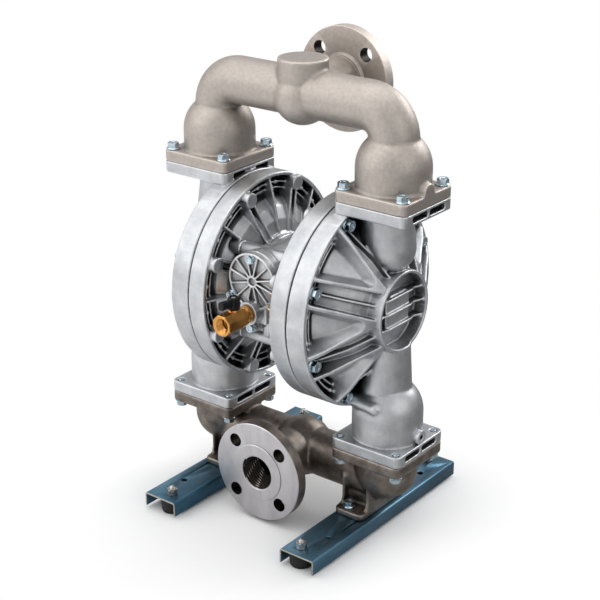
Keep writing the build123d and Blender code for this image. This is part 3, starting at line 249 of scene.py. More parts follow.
def grid_mesh(name, points, round_ways=(False, False)):
    """A mesh from a grid of points with the shape rows, columns, 3. A way that goes round joins its last
    line to its first. The quads run row by row, so their corners come from shifted copies of one index grid."""
    rows, columns = points.shape[:2]
    index = np.arange(rows * columns).reshape(rows, columns)
    below = np.roll(index, -1, 0) if round_ways[0] else index[1:]
    index = index if round_ways[0] else index[:-1]
    corners = [index, np.roll(index, -1, 1), np.roll(below, -1, 1), below]
    if not round_ways[1]:
        corners = [part[:, :-1] for part in corners]
    quads = np.stack(corners, -1).reshape(-1, 4)
    mesh = bpy.data.meshes.new(name)
    mesh.from_pydata(points.reshape(-1, 3).tolist(), [], quads.tolist())
    return mesh


def capped(rings):
    """A stack of rings in mm as a mesh, with both ends drawn in to their middles."""
    ends = [np.repeat(rings[k].mean(0)[None], rings.shape[1], 0)[None] for k in (0, -1)]
    return grid_mesh("stack", np.concatenate([ends[0], rings, ends[1]]) * MM, (False, True))


def tidy(mesh, angle=40):
    """Merges doubles, turns every face outwards and keeps edges sharp that turn by more than the angle."""
    work = bmesh.new()
    work.from_mesh(mesh)
    bmesh.ops.remove_doubles(work, verts=work.verts, dist=0.000005)
    bmesh.ops.dissolve_degenerate(work, dist=0.000002, edges=work.edges)
    bmesh.ops.recalc_face_normals(work, faces=work.faces)
    work.to_mesh(mesh)
    work.free()
    mesh.shade_smooth()
    mesh.set_sharp_from_angle(angle=radians(angle))
    return mesh


def frame_of(axis):
    """Two directions across an axis, so that the three form a right-handed set."""
    axis = np.array(axis, float) / np.linalg.norm(axis)
    side = np.cross([0.0, 1.0, 0.0] if abs(axis[2]) > 0.9 else [0.0, 0.0, 1.0], axis)
    side /= np.linalg.norm(side)
    return side, np.cross(axis, side), axis


def turned(outline, place, axis=(0, 0, 1), steps=64, closed=False, shape=None):
    """Surface of revolution: the point (r, h) of the outline goes to place + r (cos a, sin a) + h along the axis,
    for every angle a. shape(a, r, h) may change the radius, for a hexagon or a thread. closed joins the outline's
    last point to its first. Values in mm."""
    side, up, along = frame_of(axis)
    outline = np.array(outline, float)
    angle = np.linspace(0, tau, steps, endpoint=False)
    r, h = outline[:, :1], outline[:, 1:]
    radius = r + 0 * angle if shape is None else shape(angle[None, :] + 0 * r, r + 0 * angle, h + 0 * angle)
    points = radius[..., None] * (np.cos(angle)[:, None] * side + np.sin(angle)[:, None] * up)
    points = np.array(place, float) + points + h[..., None] * along
    return grid_mesh("turned", points * MM, (closed, True))


def joined(name, meshes):
    """Several meshes as one, without merging them."""
    work = bmesh.new()
    for mesh in meshes:
        work.from_mesh(mesh)
        bpy.data.meshes.remove(mesh)
    mesh = bpy.data.meshes.new(name)
    work.to_mesh(mesh)
    work.free()
    return mesh


# %% Soft shapes that are laid into a casting
def capsule(start, end, radius, steps=24):
    """A rod with two round ends: the outline is two quarter circles joined by a straight line."""
    start, end = np.array(start, float), np.array(end, float)
    length = np.linalg.norm(end - start)
    quarter = np.linspace(0, pi / 2, 9)
    low = np.stack([radius * np.sin(quarter), -radius * np.cos(quarter)], 1)
    high = np.stack([radius * np.cos(quarter), length + radius * np.sin(quarter)], 1)
    return tidy(turned(np.vstack([low, high]), start, end - start, steps), 180)


def on_ring(radius, angle):
    """Y and Z in mm at an angle in degrees round the rod axis, counted from +Y towards +Z."""
    return radius * cos(radians(angle)), ROD_LEVEL + radius * sin(radians(angle))


# %% Rebuild a CAD part with soft cast edges
def merged_copy(mesh):
    """A CAD mesh is loose triangles, so the copy's doubles are merged before anything is done to it."""
    copy = bpy.data.objects.new("copy", mesh.copy())
    bpy.context.scene.collection.objects.link(copy)
    copy.modifiers.new("weld", "WELD").merge_threshold = 0.00001
    return copy


def settled(copy):
    """The mesh with its modifiers worked in. The helper object that it stood on goes."""
    mesh = bpy.data.meshes.new_from_object(copy.evaluated_get(bpy.context.evaluated_depsgraph_get()))
    old = copy.data
    bpy.data.objects.remove(copy)
    bpy.data.meshes.remove(old)
    return mesh


def trimmed(mesh, tools):
    """Cuts each tool mesh out of a closed mesh."""
    copy = merged_copy(mesh)
    helpers = []
    for tool in tools:
        helper = bpy.data.objects.new("tool", tool)
        bpy.context.scene.collection.objects.link(helper)
        cut = copy.modifiers.new("cut", "BOOLEAN")
        cut.operation = "DIFFERENCE"
        cut.solver = "EXACT"
        cut.object = helper
        helpers.append(helper)
    result = settled(copy)
    for helper in helpers:
        bpy.data.objects.remove(helper)
    return result


def slab(low, high):
    """A box between two corners in mm, only used as a tool that cuts."""
    (x0, y0, z0), (x1, y1, z1) = low, high
    corners = np.array([[x, y, z] for x in (x0, x1) for y in (y0, y1) for z in (z0, z1)]) * MM
    mesh = bpy.data.meshes.new("slab")
    faces = [(0, 1, 3, 2), (4, 6, 7, 5), (0, 4, 5, 1), (2, 3, 7, 6), (0, 2, 6, 4), (1, 5, 7, 3)]
    mesh.from_pydata(corners.tolist(), [], faces)
    return mesh


MOST_TRIANGLES = 185000
RELAX = 2


def triangles_of(mesh):
    """Every face with n corners is n - 2 triangles."""
    return len(mesh.loops) - 2 * len(mesh.polygons)


def thinned(mesh, most):
    """Collapses short edges where the skin is flat, until it has no more than the given number of triangles."""
    share = most / triangles_of(mesh)
    if share >= 1:
        return mesh
    copy = bpy.data.objects.new("thinning", mesh)
    bpy.context.scene.collection.objects.link(copy)
    copy.modifiers.new("thin", "DECIMATE").ratio = share
    return settled(copy)


def cast(node, cube, added=(), removed=(), finish=None):
    """A CAD part with a new skin. cube is the side of the cubes in mm. The meshes in added grow together with the
    part, and those in removed are cut out first."""
    mesh = trimmed(NODES[node].data, removed) if removed else NODES[node].data.copy()
    copy = merged_copy(joined("with its small shapes", [mesh, *added]))
    wrap = copy.modifiers.new("wrap", "REMESH")
    wrap.mode = "VOXEL"
    wrap.voxel_size = cube * MM
    ease = copy.modifiers.new("ease", "SMOOTH")
    ease.factor = 0.5
    ease.iterations = RELAX
    skin = thinned(settled(copy), MOST_TRIANGLES)
    skin.shade_smooth()
    made = new_piece("cast_" + node, skin, "pump", SLOT[node], finish)
    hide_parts(node)
    print(node, "skin:", triangles_of(skin), "triangles")
    return made


# %% [markdown]
# ## The outer chambers
#
# These two ribbed castings are the face of the pump. Fins, collar and necks come from the CAD model.
# What it leaves out is laid in here: the sloping flank along each splayed fin, where the rib runs out
# into the dish, the bosses under the bolts, the nodes where the ejector pins pushed and the drain lugs.
# They could be pulled out of the mesh by hand. As simple closed shapes that are joined on before the
# wrapping they get the same fillets as all the rest, and one function makes both chambers, mirrored.

# %% Small shapes on the outer chambers
def post(place, axis, radius, length):
    """A round post with flat ends."""
    return tidy(turned([(0, 0), (radius, 0), (radius, length), (0, length)], place, axis, 40), 180)


def leaf(side, corner, turn):
    """The sloping flank on the inner side of one splayed fin. It is a row of triangles: the fin's top edge, a point
    inside the fin at its foot, and a point at its foot that stands off by the flank's width."""
    share = np.linspace(0, 0.85, 16)
    y = 60 + share * 82
    z = turn * (1.5 + share * (142 * sin(radians(14.9)) - 1.5))
    r = np.hypot(y, z)
    top = np.interp(r, [53, 96, 118, 137.5], [158, 133, 121.5, 107.5]) - 0.5
    foot = np.interp(r, [55, 65, 77, 90, 101, 110, 112], [140, 136, 129, 118, 106, 95, 86])
    wide = 10 - 7 * share
    rows = [np.stack([x, y, z + turn * off], 1) for x, off in ((top, 1.0), (foot, 1.5), (foot, -wide))]
    x, y, z = np.moveaxis(np.stack(rows, 1), -1, 0)
    c, d = cos(radians(corner)), sin(radians(corner))
    return tidy(capped(np.stack([side * x, c * y - d * z, ROD_LEVEL + d * y + c * z], -1)), 180)


def chamber_details(side):
    """Nodes on the bands behind the rim, where the ejector pins pushed, a boss under each bolt, the flanks of
    the fins, a drain lug at the foot of the lower neck, a bulge beside each of the lowest bolts and the round end
    of the upper neck."""
    shapes = [leaf(side, corner, turn) for corner in (0, 45, 135, 180, 225, 315) for turn in (-1, 1)]
    for corner in range(0, 360, 45):
        for turn in (-8.3, 8.3):
            y, z = on_ring(125.0, corner + turn)
            shapes.append(capsule((side * 88, y, z), (side * 100.5, y, z), 3.2, 12))
        y, z = on_ring(127.0, corner + 22.5)
        shapes.append(post((side * 95, y, z), (side, 0, 0), 9.0, 10.3))
    for y in (-35, 35):
        shapes.append(capsule((side * 147, y * 1.1, 190), (side * 112, y, 192), 9.5))
    shapes.append(capsule((side * 132.5, 0, 436), (side * 138, 0, 400), 33.4, 48))
    shapes.append(post((side * 170, 2, 147), (side, 0, 0), 10.0, 17.5))
    return shapes


def countersinks(side):
    """Tools that open the tapped corner holes of both port plates with a cone."""
    corners = [(side * PORT_X + i * PORT_BOLT, j * PORT_BOLT) for i in (-1, 1) for j in (-1, 1)]
    cone = [(0, -0.2), (6.0, -0.2), (6.0, 0), (4.3, 1.8), (0, 1.8)]
    plates = ((138.2, -1), (448.2, 1))
    return [tidy(turned(cone, (x, y, z), (0, 0, way), 32), 180) for x, y in corners for z, way in plates]


def drain_rim(side):
    """The turned end of the drain lug with its blind hole."""
    outline = [(0, 0.2), (3.6, 0.2), (3.6, 5.6), (4.2, 6.2), (9.0, 6.4), (9.9, 5.6), (9.9, -1), (0, -1)]
    rim = tidy(turned(outline, (side * 187.2, 2, 147), (side, 0, 0), 48), 35)
    return new_piece("drain_lug_" + ("right" if side > 0 else "left"), rim, "pump", "die_cast_aluminium")


for side, name in ((1, "outer_chamber_right"), (-1, "outer_chamber_left")):
    cast(name, 1.3, added=chamber_details(side), removed=countersinks(side))
    drain_rim(side)

# %% [markdown]
# ## The air side
#
# Between the two rims the air chambers and the body of the air valve can be seen, in deep shade. They
# are castings of the same alloy out of the same kind of die, so they go through the same wrapping.
# Only the nodes on their bands have to be added.

# %% The air chambers and the centre body
def air_chamber_details(side):
    """The same nodes on the bands of the air side."""
    shapes = []
    for corner in range(0, 360, 45):
        for turn in (-8.3, 8.3):
            y, z = on_ring(125.0, corner + turn)
            shapes.append(capsule((side * 74, y, z), (side * 61.5, y, z), 3.2, 12))
    return shapes


for side, name in ((1, "air_chamber_right"), (-1, "air_chamber_left")):
    cast(name, 1.3, added=air_chamber_details(side))
cast("centre_body", 1.5)

# %% [markdown]
# ## Manifolds and their flanges
#
# The manifolds are sand cast, so they get the same soft skin. Their pipe flanges are turned on a lathe
# after casting, and a turned edge is crisp. So each flange is cut off the copy before it is wrapped,
# and comes back as a surface of revolution: its outline is the raised face, the step round it and
# the back, and the four bolt holes are cut through it. The thread could be a picture of rings in the
# bump. It is a real helix instead, because its ridges break up the rim of the bore, and it is coarser
# than a true pipe thread, whose ridges would melt together at this distance.

# %% A turned pipe flange
def flange_holes(face, toward, z):
    """The four tools that cut the bolt holes, on a circle of 105 mm."""
    tools = []
    for i in range(4):
        x, up = 52.5 * cos(radians(45 + 90 * i)), z + 52.5 * sin(radians(45 + 90 * i))
        outline = [(0, -6), (9.5, -6), (9.5, 30), (0, 30)]
        tools.append(tidy(turned(outline, (x, face, up), (0, -toward, 0), 40)))
    return tools


def thread(bore, depth, pitch, place, axis, length, steps=72):
    """A pipe thread seen inside a bore: the radius swings by half the depth as a triangle wave of
    along / pitch minus angle / 360, which is a helix. A smooth back wall closes it."""
    rows = int(length / pitch * 8)
    h = np.linspace(0, length, rows)
    outline = np.vstack([np.stack([np.full(rows, bore), h], 1), np.stack([np.full(2, bore + 1.2), [length, 0]], 1)])

    def helix(angle, r, along):
        wave = np.abs(((along / pitch - angle / tau) % 1.0) * 2 - 1)
        return np.where(r < bore + 0.5, bore - depth * wave, r)

    return tidy(turned(outline, place, axis, steps, closed=True, shape=helix), 30)


def pipe_flange(name, face, toward, z, node, raw):
    """face is the Y of the raised face and toward the way that it looks. The face is turned, the rim and the back
    stay in the raw finish of the casting, and the bolt holes and the thread are painted nearly black as shade."""
    outline = [(24.7, 0.5), (25.3, 0.0), (39.6, 0.0), (40.5, 0.7), (40.7, 1.5), (69.0, 1.5), (70.0, 2.4)]
    outline += [(70.0, 17.2), (69.2, 18.0), (36.0, 18.0), (33.0, 22.0), (33.0, 26.0), (24.7, 26.0)]
    ring = tidy(turned(outline, (0, face, z), (0, -toward, 0), 128, closed=True), 30)
    plate = tidy(trimmed(ring, flange_holes(face, toward, z)), 30)
    port = thread(25.0, 2.4, 4.2, (0, face - toward * 0.6, z), (0, -toward, 0), 35.7, 144)
    made = new_piece(name, joined(name, [plate, port]), "pump", SLOT[node], TURNED_FLANGE)
    for other in (raw, PAINTED_SHADE_BORE):
        made.data.materials.append(other)
    for part in made.data.polygons:
        from_axis = np.hypot(part.center.x, part.center.z - z * MM)
        sideways = abs(part.normal.y) < 0.6
        hole = sideways and 42 * MM < from_axis < 64 * MM
        groove = from_axis < 24.65 * MM
        # Index 2 paints the bolt holes and the thread nearly black as shade.
        part.material_index = 2 if hole or groove else int(part.normal.y * toward < 0.6)
    made.data.set_sharp_from_angle(angle=radians(30))
    return made


# %% Both manifolds and the bright valve cap
def edge_lug(side):
    """Half-round lug at the middle of the outer edge of the upper plate."""
    return post((side * 178, 0, 482), (side, 0, 0), 11.5, 16.4)


cast("outlet_manifold", 2.0, added=[edge_lug(1), edge_lug(-1)], removed=[slab((-90, 77.5, 500), (90, 130, 660))])
# The lower manifold wears the darker copy, with painted shade.
cast("inlet_manifold", 1.9, removed=[slab((-90, -130, 1), (90, -77.5, 150))], finish=PAINTED_SHADE_CAST)
# The valve cap wears the paler copy, painted light.
cast("valve_cap", 0.8, finish=PAINTED_LIGHT_CAP)
# The rim and back of the suction flange wear the same painted shade.
pipe_flange("suction_flange_face", -FLANGE_FACE, -1, SUCTION_LEVEL, "inlet_manifold", PAINTED_SHADE_CAST)
pipe_flange(
    "discharge_flange_face", FLANGE_FACE, 1, DISCHARGE_LEVEL, "outlet_manifold", FINISH["gravity_cast_aluminium"])

# %% [markdown]
# ## Bolts, nuts and washers
#
# A hexagon head is turned too, only its radius depends on the angle: the flat that lies nearest is at
# r / cos(a), with a counted from the middle of that flat. A cone then limits the radius near the top,
# and where it meets the flats it leaves the round arcs that every real bolt head has. In the outlines
# below a negative radius marks such a prism, with half its width across flats. A hexagonal cylinder
# with a bevel would be quicker to make, but its bevel is straight where the real one is an arc, and
# that arc is what catches the light. No fitter lines the heads up, so each is turned a little further.

# %% Prisms with turned ends
def prism(sides, spin, low, high, base=1.04):
    """Shape of a prism whose corners are turned off by a cone of 30 degrees at both ends of its height. base is
    the radius of that cone at the end face as a share of half the width across flats."""
    def shape(angle, r, h):
        half = np.abs(r)
        turn = (angle + radians(spin) + pi / sides) % (tau / sides) - pi / sides
        cone = half * base + 1.73 * np.minimum(np.clip(h - low, 0, None), np.clip(high - h, 0, None))
        return np.where(r < 0, np.minimum(half / np.cos(turn), cone), r)

    return shape


def bolt(place, axis, size, flange, flats, height, length, spin=0.0):
    """A flanged hexagon bolt from its tip to its dished head. size is the radius of the shank."""
    half = flats / 2
    foot = 2.4 * size / 4
    outline = [(0, -length), (size - 1, -length), (size, 1 - length), (size, 0), (flange - 0.4, 0), (flange, 0.4)]
    outline += [(flange, 1.0), (flange * 0.95, 1.5), (half * 1.17, foot)]
    outline += [(-half, h) for h in (foot, height - 1.4, height - 0.9, height - 0.5, height - 0.2, height)]
    outline += [(half * 0.78, height), (half * 0.62, height - 0.25), (half * 0.5, height - 0.9), (0, height - 1.1)]
    return tidy(turned(outline, place, axis, 72, shape=prism(6, spin, -50, height, 1.0)), 28)


def nut(place, axis, bore, flats, height, spin=0.0):
    """A hexagon nut with both ends turned off and a countersunk bore."""
    half = flats / 2
    rise = [0, 0.3, 0.7, 1.2]
    outline = [(bore, 0.7), (bore + 0.7, 0), (half * 0.9, 0)]
    outline += [(-half, h) for h in rise + [height - h for h in reversed(rise)]]
    outline += [(half * 0.9, height), (bore + 0.7, height), (bore, height - 0.7)]
    return tidy(turned(outline, place, axis, 72, closed=True, shape=prism(6, spin, 0, height)), 28)


def replaced(node, meshes, body="pump", finish=None):
    """One new piece in place of a CAD part, from all the meshes that it is made of."""
    made = new_piece("new_" + node, joined(node, meshes), body, SLOT[node], finish)
    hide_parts(node)
    corners = np.array(made.bound_box) / MM
    print(node, triangles_of(made.data), "triangles, mm", corners.min(0).round(1), corners.max(0).round(1))
    return made


# %% Manifold bolts, pedestal bolts and nuts
# Radius of the shank, radius of the flange, width across flats and height of the head
MANIFOLD_BOLT = (4.0, 9.2, 13.6, 8.6)
PEDESTAL_BOLT = (4.0, 8.6, 13.0, 8.0)
CHAMBER_BOLT = (4.0, 9.4, 13.6, 9.0)
CAP_BOLT = (3.0, 6.4, 10.0, 5.6)
# Radius of the bore, width across flats and height
NUT = (4.05, 13.0, 6.5)
PORT_CORNERS = [(side * PORT_X + i * PORT_BOLT, j * PORT_BOLT) for side in (-1, 1) for i in (-1, 1) for j in (-1, 1)]
PEDESTAL_CORNERS = [(i * 107.7, j * 38.4) for i in (-1, 1) for j in (-1, 1)]
FOOT_CORNERS = [(i * 112, j * 148) for i in (-1, 1) for j in (-1, 1)]

replaced("outlet_manifold_bolts", [
    bolt((x, y, 479.0), (0, 0, 1), *MANIFOLD_BOLT, 31.6, 17 * i) for i, (x, y) in enumerate(PORT_CORNERS)])
replaced("inlet_manifold_bolts", [
    bolt((x, y, 107.4), (0, 0, -1), *MANIFOLD_BOLT, 31.6, 23 * i) for i, (x, y) in enumerate(PORT_CORNERS)])
replaced("pedestal_bolts", [
    bolt((x, y, 33.2), (0, 0, 1), *PEDESTAL_BOLT, 21.0, 31 * i) for i, (x, y) in enumerate(PEDESTAL_CORNERS)])
replaced("pedestal_nuts", [
    nut((x, y, 15.4), (0, 0, 1), *NUT, 13 * i) for i, (x, y) in enumerate(PEDESTAL_CORNERS)])

# %% Chamber bolts and cap bolts
for side, name in ((1, "chamber_bolts_right"), (-1, "chamber_bolts_left")):
    places = [on_ring(127.0, 22.5 + 45 * i) for i in range(8)]
    replaced(name, [
        bolt((side * 105.4, y, z), (side, 0, 0), *CHAMBER_BOLT, 50.9, 29 * i)
        for i, (y, z) in enumerate(places)])
CAP_CORNERS = [(0.0, 382.5), (-33.0, 327.0), (33.0, 327.0), (0.0, 289.0)]
replaced("cap_bolts", [
    bolt((x, -107.0, z), (0, -1, 0), *CAP_BOLT, 20.0, 41 * i) for i, (x, z) in enumerate(CAP_CORNERS)])

# %% [markdown]
# ## Feet and rails
#
# Each rubber foot is moulded round a stud, and the stud comes up through the rail to a spring washer
# and a nut. The washer is a bar with a square section that is wound into one open turn, so it is built
# as a sweep and not as a ring with a slot. The rails are pressed from sheet: the CAD shape is right, and
# a narrow bevel gives its edges the thin line of light that worn plating has.

# %% Feet, studs, washers and nuts
def spring_washer(place, inner, outer, thick, lift):
    """One open turn of a square bar. Its height grows evenly with the angle."""
    angle = np.linspace(radians(4), radians(354), 60)
    section = np.array([(inner, 0), (outer, 0), (outer, thick), (inner, thick)])
    r, rise = section[:, 0], section[:, 1] + (angle[:, None] - angle[0]) / tau * lift
    ring = np.stack([r * np.cos(angle)[:, None], r * np.sin(angle)[:, None], rise], -1)
    return tidy(capped(ring + np.array(place)), 30)


def stud(x, y):
    """Threaded stud with a rounded end. Its radius falls by the thread's depth along a helix."""
    rows = np.linspace(20, 35.4, 110)
    outline = [(0, 8), (4, 8), (4, 19.5), *[(-4, h) for h in rows], (3.5, 35.8), (2.8, 36.5), (1.6, 36.9), (0, 37)]

    def helix(angle, r, h):
        return np.where(r < 0, 4 - 0.65 * np.abs(((h / 1.25 - angle / tau) % 1.0) * 2 - 1), r)

    return tidy(turned(outline, (x, y, 0), steps=48, shape=helix), 40)


def rubber_foot(x, y):
    """Tapered foot with a lip under the rail and a hollow in its sole."""
    outline = [(0, 8), (4.1, 8), (4.1, 21.9), (16.6, 21.9), (17.3, 21.4), (17.5, 20.6), (17.4, 18.9), (16.9, 18.2)]
    outline += [(16.5, 17.6), (16.3, 16.5), (14.9, 2.4), (14.6, 1.2), (13.9, 0.4), (13.0, 0.0), (9.5, 0.0)]
    outline += [(9.0, 0.5), (8.5, 1.6), (0, 1.6)]
    return tidy(turned(outline, (x, y, 0), steps=72), 35)


replaced("rubber_feet", [rubber_foot(x, y) for x, y in FOOT_CORNERS])
replaced("foot_studs", [stud(x, y) for x, y in FOOT_CORNERS])
replaced("foot_washers", [spring_washer((x, y, RAIL_TOP), 4.3, 7.4, 1.6, 0.4) for x, y in FOOT_CORNERS])
replaced("foot_nuts", [
    nut((x, y, RAIL_TOP + 2), (0, 0, 1), *NUT, 19 * i) for i, (x, y) in enumerate(FOOT_CORNERS)])

# %% Rails with worn edges
for name in ("base_rail_left", "base_rail_right"):
    rail = merged_copy(NODES[name].data.copy())
    worn = rail.modifiers.new("worn edges", "BEVEL")
    worn.width = 0.4 * MM
    worn.segments = 2
    worn.limit_method = "ANGLE"
    worn.angle_limit = radians(35)
    made = replaced(name, [tidy(settled(rail), 35)])
    made.data.materials.append(CUT_STEEL)
    for part in made.data.polygons:
        part.material_index = int(abs(part.normal.y) > 0.6 and abs(part.center.y) > 0.16)

# %% [markdown]
# ## The air shut-off valve
#
# The brass body is an octagonal bar, turned at both ends. Its mouth has the thread of the air hose
# and behind it the bore opens into the seat of the ball. The gland and the black lever stand on it. The
# lever turns with its screw, so both ride on the lever's own body. Handle and hub are moulded in one,
# so they are wrapped together like the castings, only with far smaller cubes. A boolean union would
# leave a sharp line where they meet.

# %% Brass body with thread and gland
VALVE_MOUTH = -167
VALVE_LEVEL = 311
STEM_Y = -142


def brass_body():
    """h counts from the mouth into the pump. The bore widens to a round seat where the ball turns."""
    outline = [(10.5, 1.6), (11.6, 0.2), (12.6, 0.0)]
    outline += [(-13.5, h) for h in (0, 0.4, 0.9, 1.6, 2.6, 36.0, 37.2, 37.8, 38.2, 38.5)]
    outline += [(11.0, 38.5), (11.0, 40.6), (10.3, 41.2), (10.3, 42.6), (11.2, 43.2), (11.6, 44.2), (11.6, 48.4)]
    outline += [(11.1, 49.0), (10.4, 49.0), (10.4, 66.0), (6.0, 66.0)]
    seat = 9.3
    outline += [(seat * cos(t), STEM_Y - VALVE_MOUTH + seat * sin(t)) for t in np.linspace(0.869, -0.869, 16)]
    outline += [(6.0, 14.4), (9.2, 13.4), (10.5, 13.4)]
    octagon = prism(8, 0, 0, 38.5, 0.95)
    bar = turned(outline, (0, VALVE_MOUTH, VALVE_LEVEL), (0, 1, 0), 128, closed=True, shape=octagon)
    gland = [(7.6, 12.6), (7.6, 14.4), (7.0, 15.0), (3.1, 15.0), (3.1, 12.6)]
    return [tidy(bar, 28), thread(10.6, 1.1, 1.814, (0, VALVE_MOUTH + 0.6, VALVE_LEVEL), (0, 1, 0), 13.6),
            tidy(turned(gland, (0, STEM_Y, VALVE_LEVEL), steps=64, closed=True), 28)]


replaced("shut_off_body", brass_body())


# %% Black lever and its screw
def grip():
    """The handle is a row of rounded rectangles, |u|^n + |v|^n = 1 with n = 4, from the hub to the tip."""
    share = np.linspace(0, 1, 24)
    ends = np.array([0.0, 0.02, *share[2:-2], 0.985, 1.0])
    y = STEM_Y - 1 - 23.9 * ends
    wide = 3.6 + 0.9 * ends**2
    tall = 5.2 + 0.2 * ends
    middle = 335.5 + 1.6 * np.clip((ends - 0.15) / 0.6, 0, 1) ** 1.3
    close = np.where((ends == 0) | (ends == 1), 0.86, 1.0)
    angle = np.linspace(0, tau, 48, endpoint=False)
    u = np.sign(np.cos(angle)) * np.abs(np.cos(angle)) ** 0.5
    v = np.sign(np.sin(angle)) * np.abs(np.sin(angle)) ** 0.5
    x, z = (wide * close)[:, None] * u, middle[:, None] + (tall * close)[:, None] * v
    return tidy(capped(np.stack([x, np.repeat(y[:, None], 48, 1), z], -1)), 180)


def lobed(count, swell):
    """Shape whose radius swells count times round where the outline's radius is negative."""
    def shape(angle, r, h):
        return np.where(r < 0, np.abs(r) + swell * np.cos(count * angle), r)

    return shape


def hub():
    """Round hub over the gland, with lobes so that a finger finds hold."""
    outline = [(0, 15.6), (7.0, 15.6), (7.6, 16.4), (-7.8, 18.5), (-7.8, 27), (-7.4, 29.5), (6.8, 31.5)]
    outline += [(5.0, 32.4), (4.2, 32.2), (4.2, 29.4), (0, 29.4)]
    return tidy(turned(outline, (0, STEM_Y, VALVE_LEVEL), steps=96, shape=lobed(8, 0.5)), 180)


lever = merged_copy(joined("lever", [grip(), hub()]))
moulded = lever.modifiers.new("moulded", "REMESH")
moulded.mode = "VOXEL"
moulded.voxel_size = 0.3 * MM
eased = lever.modifiers.new("eased", "SMOOTH")
eased.iterations = 2
replaced("shut_off_lever", [tidy(settled(lever), 180)], "lever")


def screw():
    """Low round head with a six-lobed recess."""
    outline = [(0, 29.0), (3.4, 29.0), (3.6, 29.8), (3.5, 30.8), (3.0, 31.6), (2.2, 31.9)]
    outline += [(-1.6, 31.9), (-1.5, 30.6), (0, 30.5)]
    return tidy(turned(outline, (0, STEM_Y, VALVE_LEVEL), steps=72, shape=lobed(6, 0.35)), 40)


replaced("lever_screw", [screw()], "lever")

# %% [markdown]
# ## The silencer
#
# The air leaves at the back through a silencer of sintered plastic: a hexagon to screw it in by, a
# porous barrel with grooves round it and a domed end. The grooves could be a bump on a plain
# cylinder, but they show in the outline, so they are part of the outline that is turned. Only the
# pores stay in the material.

# %% Silencer
def silencer():
    """h counts from the exhaust face at Y = 56 to the rear."""
    outline = [(9, -26), (12.9, -26), (12.9, 0), *[(-17.5, h) for h in (0, 0.5, 1.2, 7.0, 7.6, 8.0)]]
    outline += [(19.5, 8.0), (23.0, 9.0), (24.0, 10.5)]
    for start in np.arange(13.0, 66.0, 5.9):
        outline += [(24.0, start), (23.0, start + 0.7), (22.6, start + 1.6), (23.0, start + 2.5), (24.0, start + 3.2)]
    outline += [(24.0, 70.0), (23.4, 72.6), (21.4, 74.8), (18.0, 75.8), (6.0, 76.0), (0, 76.0), (0, 66), (9, 66)]
    return tidy(turned(outline, (0, 56, ROD_LEVEL), (0, 1, 0), 96, shape=prism(6, 0, 0, 8)), 35)


replaced("exhaust_silencer", [silencer()])

# %% [markdown]
# ## The room
#
# The pump stands on a plain pale floor in soft light. A large panel hangs on the front left, one above,
# one behind the pump lights the edges that face up, and a weak one stands on the right. Metal only
# looks like metal when it has something to reflect, so the room is bright on the side of the large panel
# and falls off to grey on the other side, and the floor's colour carries the same fall as painted light.
# The camera itself sees both as white paper.

# %% Floor and light
def floor_mesh(size):
    """One square of the given side in metres, at height 0."""
    mesh = bpy.data.meshes.new("floor")
    half = size / 2
    mesh.from_pydata([(-half, -half, 0), (half, -half, 0), (half, half, 0), (-half, half, 0)], [], [(0, 1, 2, 3)])
    return mesh


def brightness(tree, coordinate, toward, low, high, dark, light):
    """How far a place or a direction lies toward the large panel, as a tone between dark and light."""
    place = add(tree, "TexCoord").outputs[coordinate]
    share = add(tree, "VectorMath", {0: place, 1: toward}, operation="DOT_PRODUCT").outputs["Value"]
    return ramp(tree, share, low, high, dark, light)


floor = bpy.data.objects.new("floor", floor_mesh(40))
bpy.context.scene.collection.objects.link(floor)
paper = bpy.data.materials.new("paper floor")
paper.use_nodes = True
sheet = paper.node_tree
base = sheet.nodes["Principled BSDF"]
base.inputs["Roughness"].default_value = 0.9
seen = add(sheet, "LightPath").outputs["Is Camera Ray"]
# Painted light: for reflections and bounced light the floor is bright toward the large panel and grey away from it.
mirrored = brightness(sheet, "Object", (-0.6, -0.8, 0), -0.5, 0.7, 0.15, 0.95)
sheet.links.new(mixed(sheet, seen, mirrored, linear("#FAFAFA")), base.inputs["Base Color"])
# Away from the pump the camera sees pure white, so the floor has no far edge.
far = add(sheet, "VectorMath", {0: add(sheet, "TexCoord").outputs["Object"]}, operation="LENGTH")
shown = add(sheet, "Math", {0: ramp(sheet, far.outputs["Value"], 0.24, 0.55), 1: seen}, operation="MULTIPLY")
glow = add(sheet, "Emission", {"Color": linear("#FFFFFF"), "Strength": 1.0})
both = add(sheet, "MixShader", {0: shown.outputs["Value"], 1: base.outputs["BSDF"], 2: glow.outputs["Emission"]})
sheet.links.new(both.outputs["Shader"], sheet.nodes["Material Output"].inputs["Surface"])
floor.data.materials.append(paper)

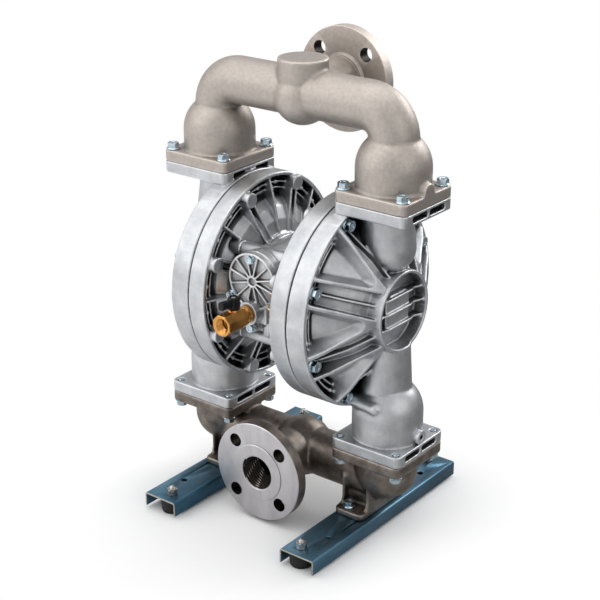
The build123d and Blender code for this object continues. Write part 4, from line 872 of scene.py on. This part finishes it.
room = bpy.data.worlds.new("room")
bpy.context.scene.world = room
room.use_nodes = True
sky = room.node_tree
dome = brightness(sky, "Generated", (-0.55, -0.60, 0.58), -0.15, 0.95, 0.46, 0.78)
seen = add(sky, "LightPath").outputs["Is Camera Ray"]
amount = add(sky, "Mix", {"Factor": seen, 2: dome, 3: 1.0}, data_type="FLOAT")
back = sky.nodes["Background"]
back.inputs["Color"].default_value = linear("#FFFFFF")
sky.links.new(amount.outputs[0], back.inputs["Strength"])


def panel(name, place, width, height, power):
    """A soft panel of light in watts at a place in metres, turned to face the middle of the pump."""
    light = bpy.data.lights.new(name, "AREA")
    light.shape = "RECTANGLE"
    light.size = width
    light.size_y = height
    light.energy = power
    lamp = bpy.data.objects.new(name, light)
    lamp.location = place
    lamp.rotation_euler = (MIDDLE - Vector(place)).to_track_quat("-Z", "Y").to_euler()
    bpy.context.scene.collection.objects.link(lamp)


MIDDLE = Vector((0.0, 0.0, 0.32))
panel("key panel", (-1.6, -1.9, 1.9), 3.4, 3.2, 30)
panel("back panel", (0.6, 2.3, 1.7), 2.0, 1.2, 28)
panel("side panel", (2.6, -0.6, 1.4), 2.6, 2.4, 14)
panel("top panel", (-0.2, 0.2, 2.8), 2.6, 2.6, 26)

# %% [markdown]
# ## The camera
#
# The photograph was taken from the front right and a little above. Its place could be set by eye. It was
# found by fitting one camera to the flange circles, the chamber rims and the rail ends, so that the
# render can be laid over the photograph.

# %% Camera
AZIMUTH = radians(37.76)
ELEVATION = radians(22.46)
TARGET = Vector((-0.00702, 0.0027, 0.2895))
DISTANCE = 1.96925
FOCAL_LENGTH = 1470.29  # in pixels of a picture that is 600 wide
SENSOR = 36
away = Vector((sin(AZIMUTH) * cos(ELEVATION), -cos(AZIMUTH) * cos(ELEVATION), sin(ELEVATION)))
lens = bpy.data.cameras.new("camera")
lens.sensor_width = SENSOR
lens.lens = FOCAL_LENGTH * SENSOR / 600
camera = bpy.data.objects.new("camera", lens)
camera.location = TARGET + away * DISTANCE
camera.rotation_euler = (-away).to_track_quat("-Z", "Y").to_euler()
bpy.context.scene.collection.objects.link(camera)
bpy.context.scene.camera = camera
bpy.context.scene.view_settings.view_transform = "Standard"
